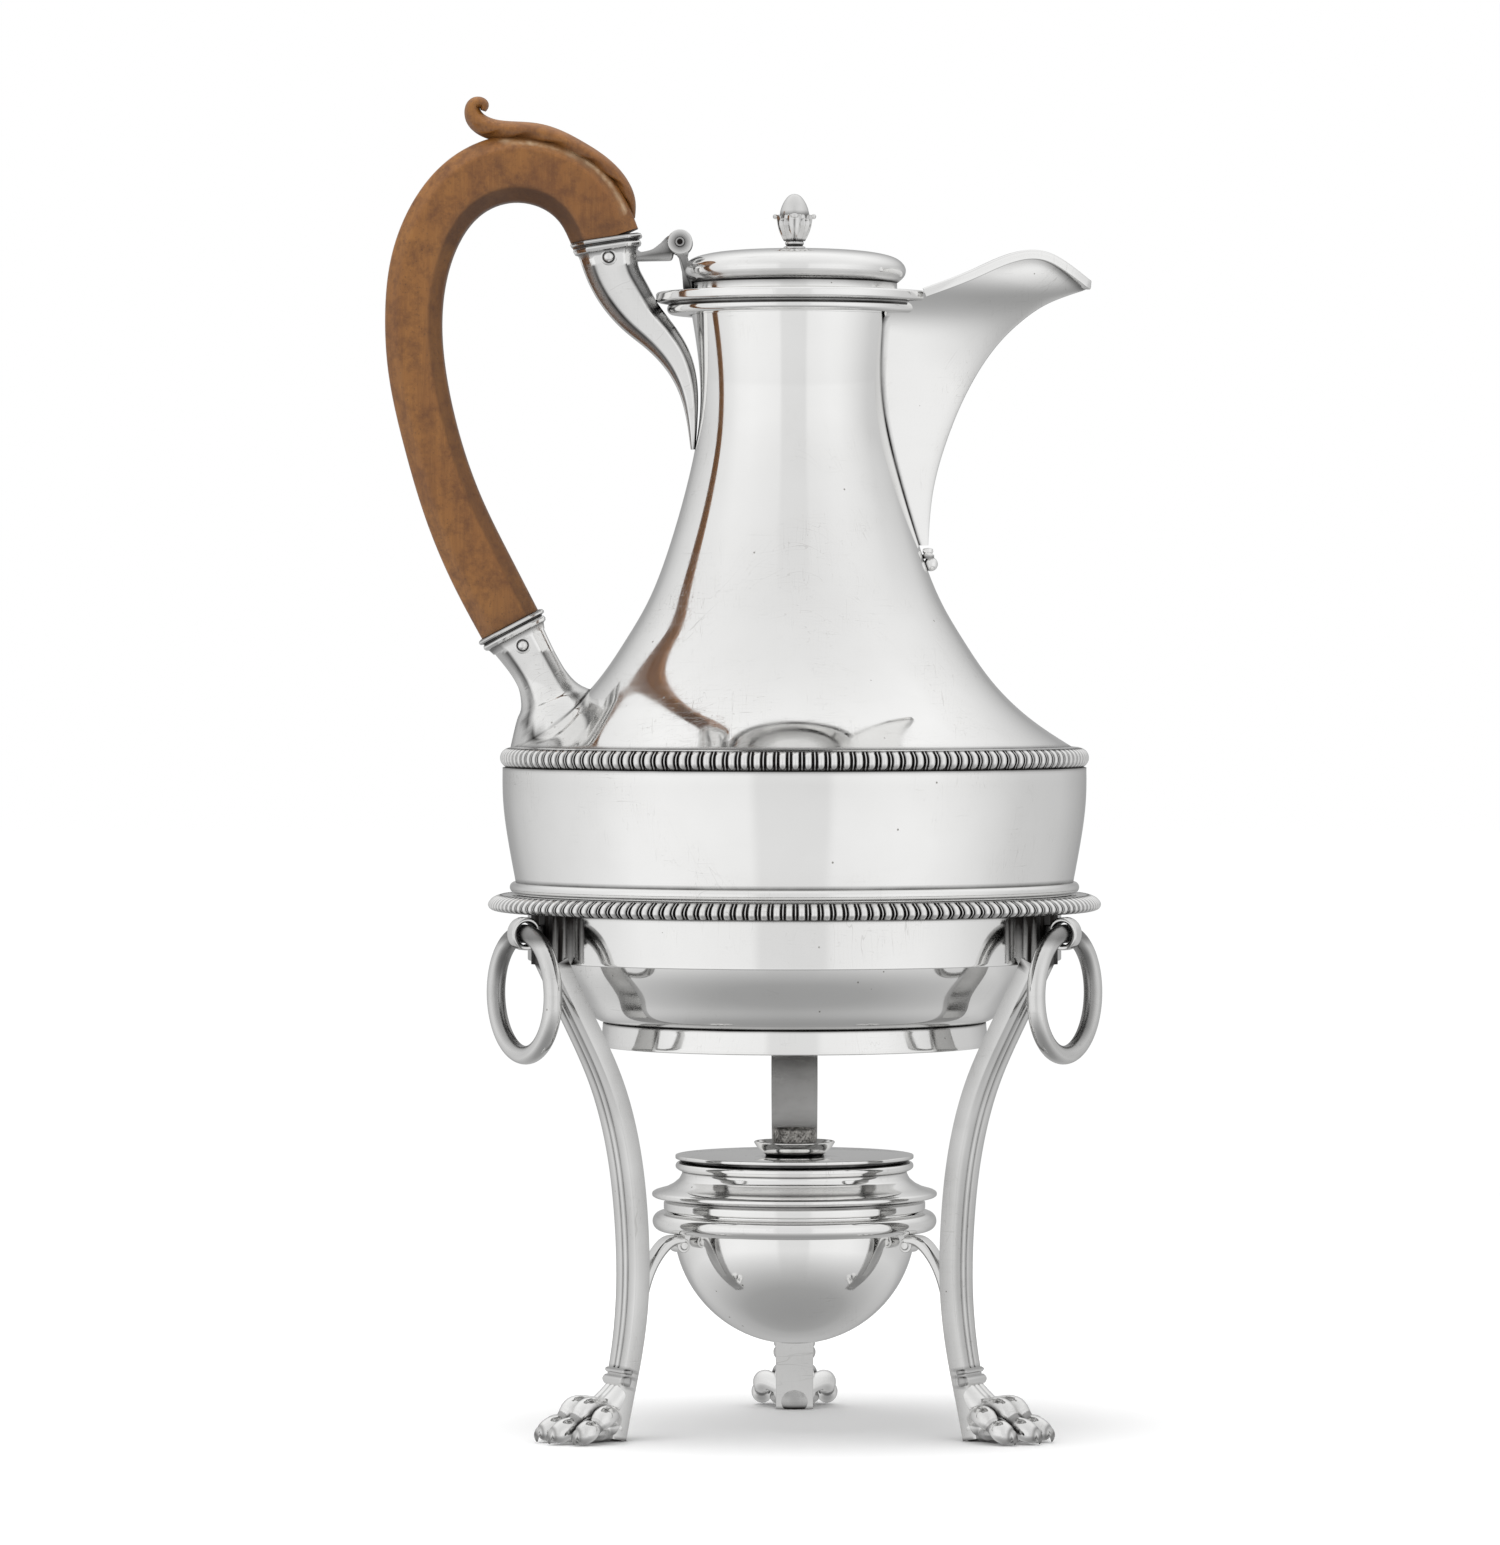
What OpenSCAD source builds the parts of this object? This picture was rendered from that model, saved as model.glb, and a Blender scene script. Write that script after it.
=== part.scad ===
// Coffee pot with a hinged lid, on a three-legged stand with a spirit lamp.
// Millimetres, +Z up. The spout points to +X and the handle to -X.
// The origin is on the table, under the middle of the whole object. Every module below is
// drawn about the pot's own axis, and on_axis() then moves it to that axis.

/* [Pot] */
// Outer radius of the drum below the shoulder border
drum_r = 70; // [69:0.25:70.5]
// Thickness of the raised silver sheet
sheet = 1.2; // [1:0.1:1.4]
// Radius of the open mouth inside the rim collar
mouth_r = 22.2; // [21.8:0.1:22.6]
// Outer radius of the flat rim collar
collar_r = 33.2; // [32:0.2:34]
// Radius of the foot rim under the pot
foot_r = 46.4; // [45.5:0.1:47]

/* [Spout] */
// Reach of the spout's tip from the pot's axis
spout_reach = 70.6; // [69:0.2:71.2]
// Thickness of the wire along the lip
lip_wire = 2.3; // [1.8:0.1:2.8]

/* [Handle] */
// Width of the wooden grip across the handle's plane
grip_depth = 12.4; // [11:0.2:14]
// Chamfer along the grip's edges
grip_chamfer = 3.2; // [2:0.2:3.8]

/* [Lid] */
// Radius of the lid's lower band
lid_r = 24.6; // [24.2:0.1:25]
// Radius of the hinge pin
hinge_pin_r = 1.1; // [0.9:0.05:1.2]
// Running clearance of the lid's knuckles on the pin
pin_gap = 0.06; // [0.02:0.01:0.1]

/* [Stand] */
// Outer radius of the stand's gadrooned border
border_r = 73.6; // [73:0.2:75]
// Outer radius of the upright band that steadies the pot
band_r = 64; // [63.6:0.1:64.4]
// Thickness of the legs
leg_thick = 3.8; // [3:0.2:4.4]
// Half the width between the outer toes' centres
toe_spread = 6.4; // [6:0.1:6.8]
// Radius of the round wire in the ring handles
ring_wire_r = 2.2; // [1.8:0.1:2.3]
// Radius of the ring handles, to the middle of the wire
ring_r = 14.3; // [13:0.1:15]

/* [Lamp] */
// Outer radius of the lamp's round bowl
lamp_r = 29.1; // [28.6:0.1:29.2]
// Outer radius of the lamp's flange
flange_r = 34.2; // [33:0.2:35]
// Outer radius of the wick tube's collar
wick_collar_r = 5.3; // [5:0.1:6]

/* [Hidden] */
$fn = 96;

// Pot's axis, to the right of the origin because the handle reaches further than the spout
axis_x = 12.3;
// Turn of each leg about the pot's axis, from +X
LEFT = 210;
RIGHT = -30;
BACK = 90;

// Heights
foot_z = 92.4;
bottom_z = 97.8;
band_z = 113.1;
border_z = 124.9;
stand_top_z = 128.8;
seat_z = 128.9;
drum_z = 131.8;
shoulder_z = 159.2;
neck_z = 163.6;
collar_z = 267.5;
slab_z = 270.5;
mouth_z = 272.9;
lid_z = 273.1;
finial_z = 283.4;
lamp_ring_z = 50.3;
lamp_z = 49.8;
lamp_band_z = 52.9;
lamp_rim_z = 64.7;
plate_z = 65.3;
cup_z = 66.2;

// Hinge of the lid, in the plane of the handle
hinge = [-27.4, 284.9];
knuckle_r = 3;
// Middle of each ring handle's loop, out from the axis and up
loop_at = [73.4, 120.6];
loop_hole_r = 2.65;
loop_r = 3.9;
// Outer face and width of the blocks at the heads of the legs
block_r = 68.7;
block_w = 10.8;

// ---- Curves and solids ----

// Point at t from 0 to 1 on the smooth curve between b and c
function between(a, b, c, d, t) =
    (2 * b + (c - a) * t + (2 * a - 5 * b + 4 * c - d) * t * t
        + (3 * b - a - 3 * c + d) * t * t * t) / 2;
// Smooth curve through the rows of p, with n steps from row to row
function smooth(p, n) =
    let (last = len(p) - 1)
    [for (i = [0:last - 1]) for (k = [0:n - 1])
        between(i > 0 ? p[i - 1] : 2 * p[0] - p[1], p[i], p[i + 1],
            i + 1 < last ? p[i + 2] : 2 * p[last] - p[last - 1], k / n),
     p[last]];
function flat(p) = [p[0], p[1]];
function unit(v) = v / norm(v);
// Direction of the curve p at row i, in its plane
function along(p, i) = unit(flat(p[min(i + 1, len(p) - 1)]) - flat(p[max(i - 1, 0)]));
// Curve p, which runs upwards, moved by d towards the axis
function inset(p, d) =
    [for (i = [0:len(p) - 1]) let (t = along(p, i)) flat(p[i]) + d * [-t[1], t[0]]];
function reversed(p) = [for (i = [len(p) - 1:-1:0]) p[i]];
// Arc from angle a to angle b about c, in n steps
function arc(c, r, a, b, n) =
    [for (k = [0:n]) let (w = a + (b - a) * k / n) c + r * [cos(w), sin(w)]];

// Cross-sections: x lies in the plane of the curve, y across it
function bar(w, d, c) =
    [[w / 2, -d / 2 + c], [w / 2, d / 2 - c], [w / 2 - c, d / 2], [c - w / 2, d / 2],
     [-w / 2, d / 2 - c], [-w / 2, c - d / 2], [c - w / 2, -d / 2], [w / 2 - c, -d / 2]];
function oval(w, d, n) =
    [for (k = [0:n - 1]) let (a = 360 * (k + 0.5) / n) [w / 2 * cos(a), d / 2 * sin(a)]];
// The section placed square to the curve p at row i, in the XZ plane
function placed(p, i, section) =
    let (t = along(p, i))
    [for (s = section) [p[i][0] + s[0] * t[1], s[1], p[i][1] - s[0] * t[0]]];

// Solid skin over rings of n points each, closed by a strip across both ends
module loft(rings) {
    n = len(rings[0]);
    last = len(rings) - 1;
    sides = [for (i = [0:last - 1]) for (j = [0:n - 1])
        let (a = i * n + j, b = i * n + (j + 1) % n) each [[a, b + n, b], [a, a + n, b + n]]];
    ends = [for (j = [0:n / 2 - 2]) let (a = n - 1 - j, e = last * n) each [
        [j, j + 1, a - 1], [j, a - 1, a], [e + j, e + a - 1, e + j + 1], [e + j, e + a, e + a - 1]]];
    polyhedron([for (r = rings) each r], concat(sides, ends), convexity = 8);
}

// Bar of chamfered section along rows of [x, z, width, depth]
module chamfered_bar(rows, chamfer, steps) {
    p = smooth(rows, steps);
    loft([for (i = [0:len(p) - 1])
        placed(p, i, bar(p[i][2], p[i][3], chamfer * min(p[i][2], p[i][3]) / 12.4))]);
}

// Bar of oval section along rows of [x, z, width, depth]
module oval_bar(rows, steps, sides) {
    p = smooth(rows, steps);
    loft([for (i = [0:len(p) - 1]) placed(p, i, oval(p[i][2], p[i][3], sides))]);
}

module on_axis() translate([axis_x, 0, 0]) children();
module turned(outline) rotate_extrude() polygon(outline);
module tube(r, inner, z0, z1) turned([[inner, z0], [r, z0], [r, z1], [inner, z1]]);
// Thin turned wall whose outside is the curve p, which runs upwards
module turned_wall(p, thick) turned(concat(p, reversed(inset(p, thick))));
// Upright plate in the XZ plane, from y = -half to y = half
module plate_y(half, outline)
    translate([0, half, 0]) rotate([90, 0, 0]) linear_extrude(2 * half) polygon(outline);
module rod_y(at, r, half)
    translate([at[0], 0, at[1]]) rotate([90, 0, 0]) cylinder(r = r, h = 2 * half, center = true);

// ---- Pot ----

// Outside of the neck and shoulder, upwards, as [radius, height]
NECK = smooth([[67.4, neck_z], [57, 170.5], [47.2, 180], [40.3, 190], [35.1, 199], [29.5, 213.7],
    [24.9, 230.5], [22.9, 242], [22.6, 251], [23.3, 259], [25, slab_z - 0.6]], 2);

module pot_neck() color("silver") difference() {
    turned_wall(NECK, sheet);
    // Way from the neck into the spout
    translate([15, 0, 0]) rotate([90, 0, 90]) linear_extrude(20)
        polygon([[0, 219], [9.6, 265], [-9.6, 265]]);
}

// Rounded border that carries the gadroons
module shoulder_border() color("gainsboro")
    turned(concat([[66.4, shoulder_z], [69.2, shoulder_z]],
        arc([68.2, 161.5], 2.4, -60, 80, 7), [[66.4, 164.2]]));

DRUM = smooth([[66.9, drum_z], [68.7, 141.7], [drum_r - 0.3, 149], [drum_r, 154],
    [drum_r, shoulder_z]], 2);
module pot_drum() color("silver") turned_wall(DRUM, sheet);

module base_moulding() color("gainsboro")
    turned(concat([[65.4, seat_z], [67.6, seat_z]], arc([67, 130.4], 1.5, -60, 70, 5),
        [[66.9, drum_z], [65.4, drum_z]]));

BOWL = smooth([[44, bottom_z], [48.2, 99.4], [50.6, 103.4], [54.5, 110], [57, 118],
    [58.2, seat_z]], 2);
module pot_bottom() color("silver") {
    turned(concat([[0, bottom_z + 0.6]], BOWL, reversed(inset(BOWL, sheet)),
        [[0, bottom_z + 0.6 + sheet]]));
    tube(65.4, 57.6, seat_z, seat_z + sheet);
}

module pot_foot() color("silver")
    turned([[foot_r - 1.4, foot_z], [foot_r, foot_z], [foot_r - 0.4, bottom_z + 0.3],
        [foot_r - 1.8, bottom_z + 0.3]]);

module rim_collar() color("gainsboro")
    turned(concat([[mouth_r, slab_z - 1.6], [24.4, slab_z - 1.6], [24.6, collar_z]],
        arc([29.2, collar_z + 1.5], 1.3, -80, 60, 4),
        [[30.6, slab_z], [collar_r - 0.5, slab_z], [collar_r, slab_z + 0.5],
        [collar_r, mouth_z - 0.4], [collar_r - 0.4, mouth_z], [mouth_r, mouth_z]]));

// ---- Spout ----

// Stations up the beak: keel x, keel z, edge x, edge half-width, edge z
SPOUT = smooth([[32.1, 212.4, 29.5, 0.9, 212.4], [33.2, 225, 25.7, 3.4, 225],
    [36.3, 236.8, 22.9, 6, 237], [41.6, 249.5, 20.4, 9, 250.5], [48.6, 260.3, 20.4, 11.3, 261],
    [54.6, 266.2, 21.7, 12.6, 267], [60, 269.9, 29.6, 13.3, 271.8],
    [64.4, 271.8, 42.8, 12.2, 276.9], [67.3, 272.8, 53.4, 9.6, 281.2],
    [69.1, 273.4, 61.5, 6.6, 280.6], [70, 273.8, 66.6, 3.9, 277.4],
    [spout_reach, 274.2, spout_reach - 0.6, 1.2, 274.9]], 2);
beak_wall = 1;

// Row of points from one edge over the keel to the other edge
function beak_row(keel, edge) =
    [for (k = [-4:4]) let (s = abs(k) / 4, side = sign(k) * pow(s, 0.85), rise = pow(s, 1.25))
        [keel[0] + (edge[0] - keel[0]) * rise, side * edge[1],
         keel[1] + (edge[2] - keel[1]) * rise]];
function beak_ring(q) =
    let (keel = [q[0], q[1]], edge = [q[2], q[3], q[4]],
        up = unit([q[2] - q[0], q[4] - q[1]]) * beak_wall)
    concat(beak_row(keel, edge),
        reversed(beak_row(keel + up, edge + [0, -min(beak_wall, q[3] - 0.2), 0])));
module spout() color("silver") loft([for (q = SPOUT) beak_ring(q)]);

// Path of the lip, from the collar round the tip and back
LIP_HALF = [for (q = SPOUT) if (q[2] > 30.6) [q[2], q[3], q[4]]];
LIP = concat([for (e = LIP_HALF) [e[0], -e[1], e[2]]],
    [for (e = reversed(LIP_HALF)) e]);
module spout_lip() color("gainsboro")
    loft([for (i = [0:len(LIP) - 1])
        let (t = unit(LIP[min(i + 1, len(LIP) - 1)] - LIP[max(i - 1, 0)]),
            out = unit(cross(t, [0, 0, 1])), up = cross(out, t))
        [for (s = bar(lip_wire, lip_wire, 0.7)) LIP[i] + s[0] * out + s[1] * up]]);

module spout_drop() color("gainsboro") {
    translate([32.7, 0, 208.1]) sphere(r = 1.7);
    translate([31.4, 0, 209.2]) rotate([0, 20, 0]) cylinder(r = 1.5, h = 2.4);
}

// ---- Handle ----

GRIP = [[-68, 193, 15, 1], [-75.2, 206.8, 15.2, 1], [-81.6, 221, 14.3, 1],
    [-86.8, 237, 13.5, 1], [-90.5, 254, 13.7, 1], [-91.3, 267, 13.7, 1], [-89.4, 281, 14.1, 1],
    [-83.8, 293, 14.5, 1.03], [-76.8, 299.6, 15.3, 1.05], [-67.4, 302.6, 16.1, 1.08],
    [-57, 300.6, 16.4, 1.1], [-49.6, 294.6, 16.5, 1.1], [-45.1, 285.4, 16.3, 1.08]];
// Carved leaf that gives the thumb a rest, from its foot to its curled tip
LEAF = [[-38.6, 290.6, 1, 3], [-39.4, 295.2, 2.6, 6.6], [-43.6, 301.6, 3.8, 9.2],
    [-51.5, 307, 4.6, 11.2], [-61, 311, 5, 11.8], [-69.6, 312, 4.8, 10.2],
    [-74.6, 313.2, 4.6, 8.6], [-77.2, 315.6, 3.8, 7.8], [-77.3, 317.4, 2.6, 7.4]];
// Middle and radius of the curl's eye
LEAF_CURL = [-75.4, 317.3];
curl_r = 2.7;
// Ends of the grip: place, turn from upright, tenon width and length
UPPER = [-45.1, 285.4, -8.4];
LOWER = [-68, 193, -27.7];
tenon_w = 9.6;
tenon_d = 8.4;
tenon_l = 8;
// Cement line between tenon and socket
tenon_gap = 0.1;

// Square tenon below an end of the grip, or the hole for it when gap is more than 0
module tenon(at, gap)
    translate([at[0], 0, at[1]]) rotate([0, at[2], 0])
        translate([-tenon_w / 2 - gap, -tenon_d / 2 - gap, -tenon_l - gap])
            cube([tenon_w + 2 * gap, tenon_d + 2 * gap, tenon_l + gap + 0.5]);

module handle() color("saddlebrown") {
    chamfered_bar([for (g = GRIP) [g[0], g[1], g[2], g[3] * grip_depth]], grip_chamfer, 2);
    oval_bar(LEAF, 2, 10);
    rod_y(LEAF_CURL, curl_r, 3.6);
    tenon(UPPER, 0);
    tenon(LOWER, 0);
}

module upper_socket() color("silver") difference() {
    union() {
        chamfered_bar([[-45.1, 285.4, 17, 14.6], [-44.6, 282.2, 16, 13.8]], 3, 1);
        chamfered_bar([[-44.6, 282.4, 14.2, 12], [-43.4, 277.4, 12.7, 11.2],
            [-40.5, 272.1, 12, 10.6], [-37.1, 267.5, 10.6, 9.8], [-33, 263.2, 9, 8.4],
            [-28.6, 257.6, 7.4, 7], [-25.7, 250.5, 5, 5.4], [-24.6, 243, 2.8, 3.8],
            [-24.3, 235.4, 1.2, 2]], 3, 2);
    }
    tenon(UPPER, tenon_gap);
}

module lower_socket() color("silver") difference() {
    union() {
        chamfered_bar([[-67.9, 192.9, 16.8, 14.4], [-66.3, 190, 15.8, 13.6]], 3, 1);
        chamfered_bar([[-66.5, 190.3, 13.6, 11.8], [-63.4, 185.8, 12, 10.8],
            [-60.4, 181.4, 11.6, 11], [-58.2, 177.9, 13.2, 12.6], [-56.5, 175.4, 16.4, 16],
            [-55.1, 173.6, 21.2, 19.6]], 3, 2);
    }
    tenon(LOWER, tenon_gap);
}

// Pin across a socket, with a round head at both ends
module cross_pin(at, half) {
    rod_y(at, 0.9, half);
    for (side = [-1, 1]) translate([at[0], side * half, at[1]]) sphere(r = 1.3);
}
module upper_pin() color("gainsboro") cross_pin([-44.4, 281.6], 6.6);
module lower_pin() color("gainsboro") cross_pin([-65.2, 188.6], 6.2);

// ---- Lid and hinge ----

module hinge_bracket() color("silver") difference() {
    union() {
        plate_y(2.2, [[-41, 280.4], [-29.2, 280.5], [-28.8, 282.4], [-27.4, 284.9],
            [-29, 287.2], [-30.6, 286.4], [-32, 284.8], [-34, 283.2], [-37, 282.4],
            [-38.4, 284.4], [-41, 283.6]]);
        rod_y(hinge, knuckle_r, 2.2);
    }
    rod_y(hinge, hinge_pin_r, 3);
}
module hinge_pin() color("gainsboro") rod_y(hinge, hinge_pin_r, 5.4);

module lid_arm() color("silver") difference() {
    union() {
        plate_y(4.6, [[-26.6, 273.3], [-24.3, 273.3], [-24.3, 276], [-25.6, 281.6],
            [-27.8, 281.6]]);
        for (y = [-3.5, 3.5]) translate([0, y, 0]) {
            rod_y(hinge, knuckle_r, 1.1);
            plate_y(1.1, [[-27.8, 281.4], [-25.7, 281.4], [-25.2, 283.6], [-29.2, 283.6]]);
        }
    }
    rod_y(hinge, hinge_pin_r + pin_gap, 6);
}

// Outside of the lid above its band, downwards from the middle
DOME = smooth([[0, 283.4], [9, 283.2], [17, 282.7], [22, 281.9], [25.1, 280.6],
    [lid_r + 2.1, 278.6], [lid_r + 1.8, 276.8], [lid_r + 0.4, 275.5]], 2);
module lid_cover() color("silver") difference() {
    turned(concat([[0, lid_z], [lid_r, lid_z], [lid_r, 275.2]], reversed(DOME)));
    turned([[0, lid_z - 1], [lid_r - sheet, lid_z - 1], [lid_r - sheet, 279.2],
        [21, 280.6], [12, 281.8], [0, 282.2]]);
    translate([0, 0, 280]) cylinder(r = 1.2, h = 8);
}
// Ring under the lid that drops into the mouth
module lid_bezel() color("silver") turned([[19.8, 269.6], [21, 269.6], [21, 274.2],
    [lid_r - sheet, 274.2], [lid_r - sheet, 275.2], [19.8, 275.2]]);

module finial_calyx() color("gainsboro")
    turned([[0, finial_z], [2.6, finial_z], [2.4, 284.2], [2.1, 284.8], [2.2, 286], [3, 288],
        [4.4, 290], [5.3, 291.4], [4.8, 292], [3.5, 290.6], [0, 290]]);
module finial_bud() color("silver")
    turned(concat([[0, 290], [3.5, 290.6]], arc([-0.4, 291.4], 3.9, 0, 25, 3),
        [[2.6, 294.2], [1.6, 295.6], [0.7, 296.3], [0, 296.6]]));
// Screw of the finial and the nut that draws it down, inside the lid
module finial_nut() color("gainsboro") {
    translate([0, 0, 279.4]) cylinder(r = 1.2, h = finial_z - 279.4);
    translate([0, 0, 279.8]) cylinder(r = 3, h = 1.9, $fn = 6);
}

// ---- Stand ----

module stand_border() color("gainsboro")
    turned(concat([[band_r - sheet, border_z], [71.6, border_z]],
        arc([border_r - 1.9, 126.7], 1.9, -65, 60, 6), [[71.2, 128.7], [69.6, stand_top_z],
        [band_r - sheet, stand_top_z]]));
module stand_band() color("silver") tube(band_r, band_r - sheet, band_z, border_z);

// Middle of the leg, downwards: out, up, thickness, width
LEG = [[66.6, 114, 1, 11.4], [58.6, 98.9, 1, 11.6], [51.8, 85, 1, 11.7], [47.1, 68.6, 1, 11.4],
    [45.1, 53, 1, 11.1], [44.7, 35, 1, 10.7], [46.4, 20, 1, 9.8], [48.4, 10.4, 1, 9.2],
    [50.5, 0.5, 1, 9.2]];
module leg(turn) color("silver") rotate(turn) {
    chamfered_bar([for (q = LEG) [q[0], q[1], q[2] * leg_thick, q[3]]], 2.4, 3);
    // Block against the band
    translate([band_r - 0.8, -block_w / 2, band_z])
        cube([block_r + 0.8 - band_r, block_w, border_z - band_z]);
    // Ankle bands
    chamfered_bar([[46.9, 16.8, leg_thick + 1, 10.9], [47.1, 15.6, leg_thick + 1, 10.9]], 3, 1);
    chamfered_bar([[47.4, 15.1, leg_thick + 1.4, 10.9], [48, 12.9, leg_thick + 1.4, 10.9]], 3, 1);
}

// Lion's paw: four toes in front of a broad pad, flat underneath.
// Each toe is [reach, side of the middle as a share of the spread, knuckle's reach and height].
TOES = [[60.4, -1, 55.6, 6.4], [65.6, -0.35, 58.4, 7.4], [65.6, 0.35, 58.4, 7.4],
    [60.4, 1, 55.6, 6.4]];
module paw(turn) color("gainsboro") rotate(turn) intersection() {
    union() {
        for (t = TOES) hull() {
            translate([t[0], t[1] * toe_spread, 2.5]) sphere(r = 2.7, $fn = 18);
            translate([t[2], t[1] * toe_spread * 0.9, t[3]]) sphere(r = 2.9, $fn = 18);
        }
        hull() for (y = [-3.6, 3.6]) {
            translate([53, y, 4]) sphere(r = 4.2, $fn = 18);
            translate([60, y * 0.9, 3.2]) sphere(r = 3.4, $fn = 18);
        }
        hull() {
            translate([50.4, 0, 10.2]) sphere(r = 2.6, $fn = 18);
            translate([56, 0, 6.8]) sphere(r = 3.4, $fn = 18);
            for (y = [-2.6, 2.6]) translate([52.4, y, 4]) sphere(r = 3.6, $fn = 18);
        }
    }
    translate([40, -15, 0]) cube([35, 30, 12.6]);
}

module loop(turn) color("silver") rotate(turn) difference() {
    union() {
        rod_y(loop_at, loop_r, 1.6);
        translate([block_r - 0.1, -1.6, loop_at[1] - 2]) cube([4.4, 3.2, 4]);
    }
    rod_y(loop_at, loop_hole_r, 2);
}

module ring(turn) color("silver") rotate(turn)
    translate([loop_at[0], 0, loop_at[1] - ring_r]) rotate([0, 90, 0])
        rotate_extrude() translate([ring_r, 0]) circle(r = ring_wire_r, $fn = 48);

module lamp_ring() color("silver") translate([0, 0, lamp_ring_z])
    rotate_extrude() translate([31.8, 0]) circle(r = 2.3, $fn = 48);

// Scrolled bracket from the inside of a leg to the lamp ring
module bracket(turn) color("silver") rotate(turn) {
    chamfered_bar([[43.5, 23, 1, 3.4], [42.6, 30, 1.8, 4], [41, 37.6, 2.2, 4.4],
        [37.9, 43.6, 2.4, 4.8], [34.2, 46.7, 2.4, 5], [31.4, 46.9, 1.8, 5]], 3, 2);
    rod_y([31.6, 45.7], 1.7, 2.5);
}

// ---- Lamp ----

module lamp_bowl() color("silver") translate([0, 0, lamp_z]) difference() {
    sphere(r = lamp_r);
    sphere(r = lamp_r - 1);
    translate([0, 0, 50 + lamp_band_z - lamp_z]) cube(100, center = true);
}
module lamp_shoulder() color("silver")
    turned([[28, lamp_band_z], [31.2, lamp_band_z], [31.4, 53.4], [31.4, 54.9], [30.8, 55.3],
        [30.8, 55.9], [flange_r - 0.5, 56], [flange_r, 56.5], [flange_r, 57.1],
        [flange_r - 0.6, 57.6], [30.6, 58.5], [28.4, 59.6], [27.1, 61], [26.9, 62.2],
        [27.9, 62.6], [28.5, 63.2], [28.5, 64], [27.9, 64.6], [27.2, lamp_rim_z],
        [25.6, lamp_rim_z], [25.6, 60.4], [28, 57]]);
module lamp_plate() color("gainsboro") {
    tube(28.6, 4.7, plate_z, cup_z);
    tube(25.2, 24.2, 60.4, plate_z);
}
module drip_cup() color("silver")
    turned([[wick_collar_r, cup_z], [6.9, cup_z], [8, 66.9], [9, 68], [9.8, 69.2],
        [9.1, 69.5], [8.2, 68.5], [7.2, 67.6], [6.4, cup_z + 0.9], [wick_collar_r, cup_z + 0.9]]);
module wick_tube() color("dimgray") {
    tube(wick_collar_r, 4.2, cup_z, 72.5);
    tube(4.7, 4.2, 44, cup_z);
}
module wick() color("ivory") translate([0, 0, 30]) cylinder(r = 4.2, h = 41.6);

on_axis() pot_neck();
on_axis() shoulder_border();
on_axis() pot_drum();
on_axis() base_moulding();
on_axis() pot_bottom();
on_axis() pot_foot();
on_axis() rim_collar();
on_axis() spout();
on_axis() spout_lip();
on_axis() spout_drop();
on_axis() upper_socket();
on_axis() lower_socket();
on_axis() upper_pin();
on_axis() lower_pin();
on_axis() handle();
on_axis() hinge_bracket();
on_axis() hinge_pin();
on_axis() lid_cover();
on_axis() lid_bezel();
on_axis() lid_arm();
on_axis() finial_calyx();
on_axis() finial_bud();
on_axis() finial_nut();
on_axis() stand_border();
on_axis() stand_band();
on_axis() lamp_ring();
on_axis() leg(LEFT);  // leg_left
on_axis() leg(RIGHT);  // leg_right
on_axis() leg(BACK);  // leg_back
on_axis() paw(LEFT);  // paw_left
on_axis() paw(RIGHT);  // paw_right
on_axis() paw(BACK);  // paw_back
on_axis() loop(LEFT);  // loop_left
on_axis() loop(RIGHT);  // loop_right
on_axis() loop(BACK);  // loop_back
on_axis() ring(LEFT);  // ring_left
on_axis() ring(RIGHT);  // ring_right
on_axis() ring(BACK);  // ring_back
on_axis() bracket(LEFT);  // bracket_left
on_axis() bracket(RIGHT);  // bracket_right
on_axis() bracket(BACK);  // bracket_back
on_axis() lamp_bowl();
on_axis() lamp_shoulder();
on_axis() lamp_plate();
on_axis() drip_cup();
on_axis() wick_tube();
on_axis() wick();
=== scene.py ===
import math

import bmesh
import bpy
import numpy as np
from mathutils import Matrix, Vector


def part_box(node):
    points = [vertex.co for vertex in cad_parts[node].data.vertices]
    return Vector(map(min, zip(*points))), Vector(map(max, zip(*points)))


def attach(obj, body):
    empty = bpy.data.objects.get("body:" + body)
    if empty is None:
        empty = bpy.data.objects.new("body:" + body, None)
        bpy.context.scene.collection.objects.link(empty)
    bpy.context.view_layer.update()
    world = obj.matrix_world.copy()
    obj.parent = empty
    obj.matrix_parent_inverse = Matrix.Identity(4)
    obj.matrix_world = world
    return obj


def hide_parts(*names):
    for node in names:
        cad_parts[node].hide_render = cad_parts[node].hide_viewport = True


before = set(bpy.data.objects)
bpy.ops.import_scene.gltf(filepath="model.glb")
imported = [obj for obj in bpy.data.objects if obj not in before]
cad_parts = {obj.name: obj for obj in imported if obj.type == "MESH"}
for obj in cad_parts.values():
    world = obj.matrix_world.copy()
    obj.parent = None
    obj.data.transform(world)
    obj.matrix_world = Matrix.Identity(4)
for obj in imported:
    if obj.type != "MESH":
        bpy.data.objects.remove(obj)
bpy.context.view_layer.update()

# Lengths below are in millimetres about the pot's own axis; finished meshes are in metres.
MM = 0.001
drum_low, drum_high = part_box("pot_drum")
AXIS_X = (drum_low.x + drum_high.x) / 2
TURNS = {"left": 210, "right": -30, "back": 90}
SHEET = 1.2


# ---------------------------------------------------------------- curves

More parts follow.
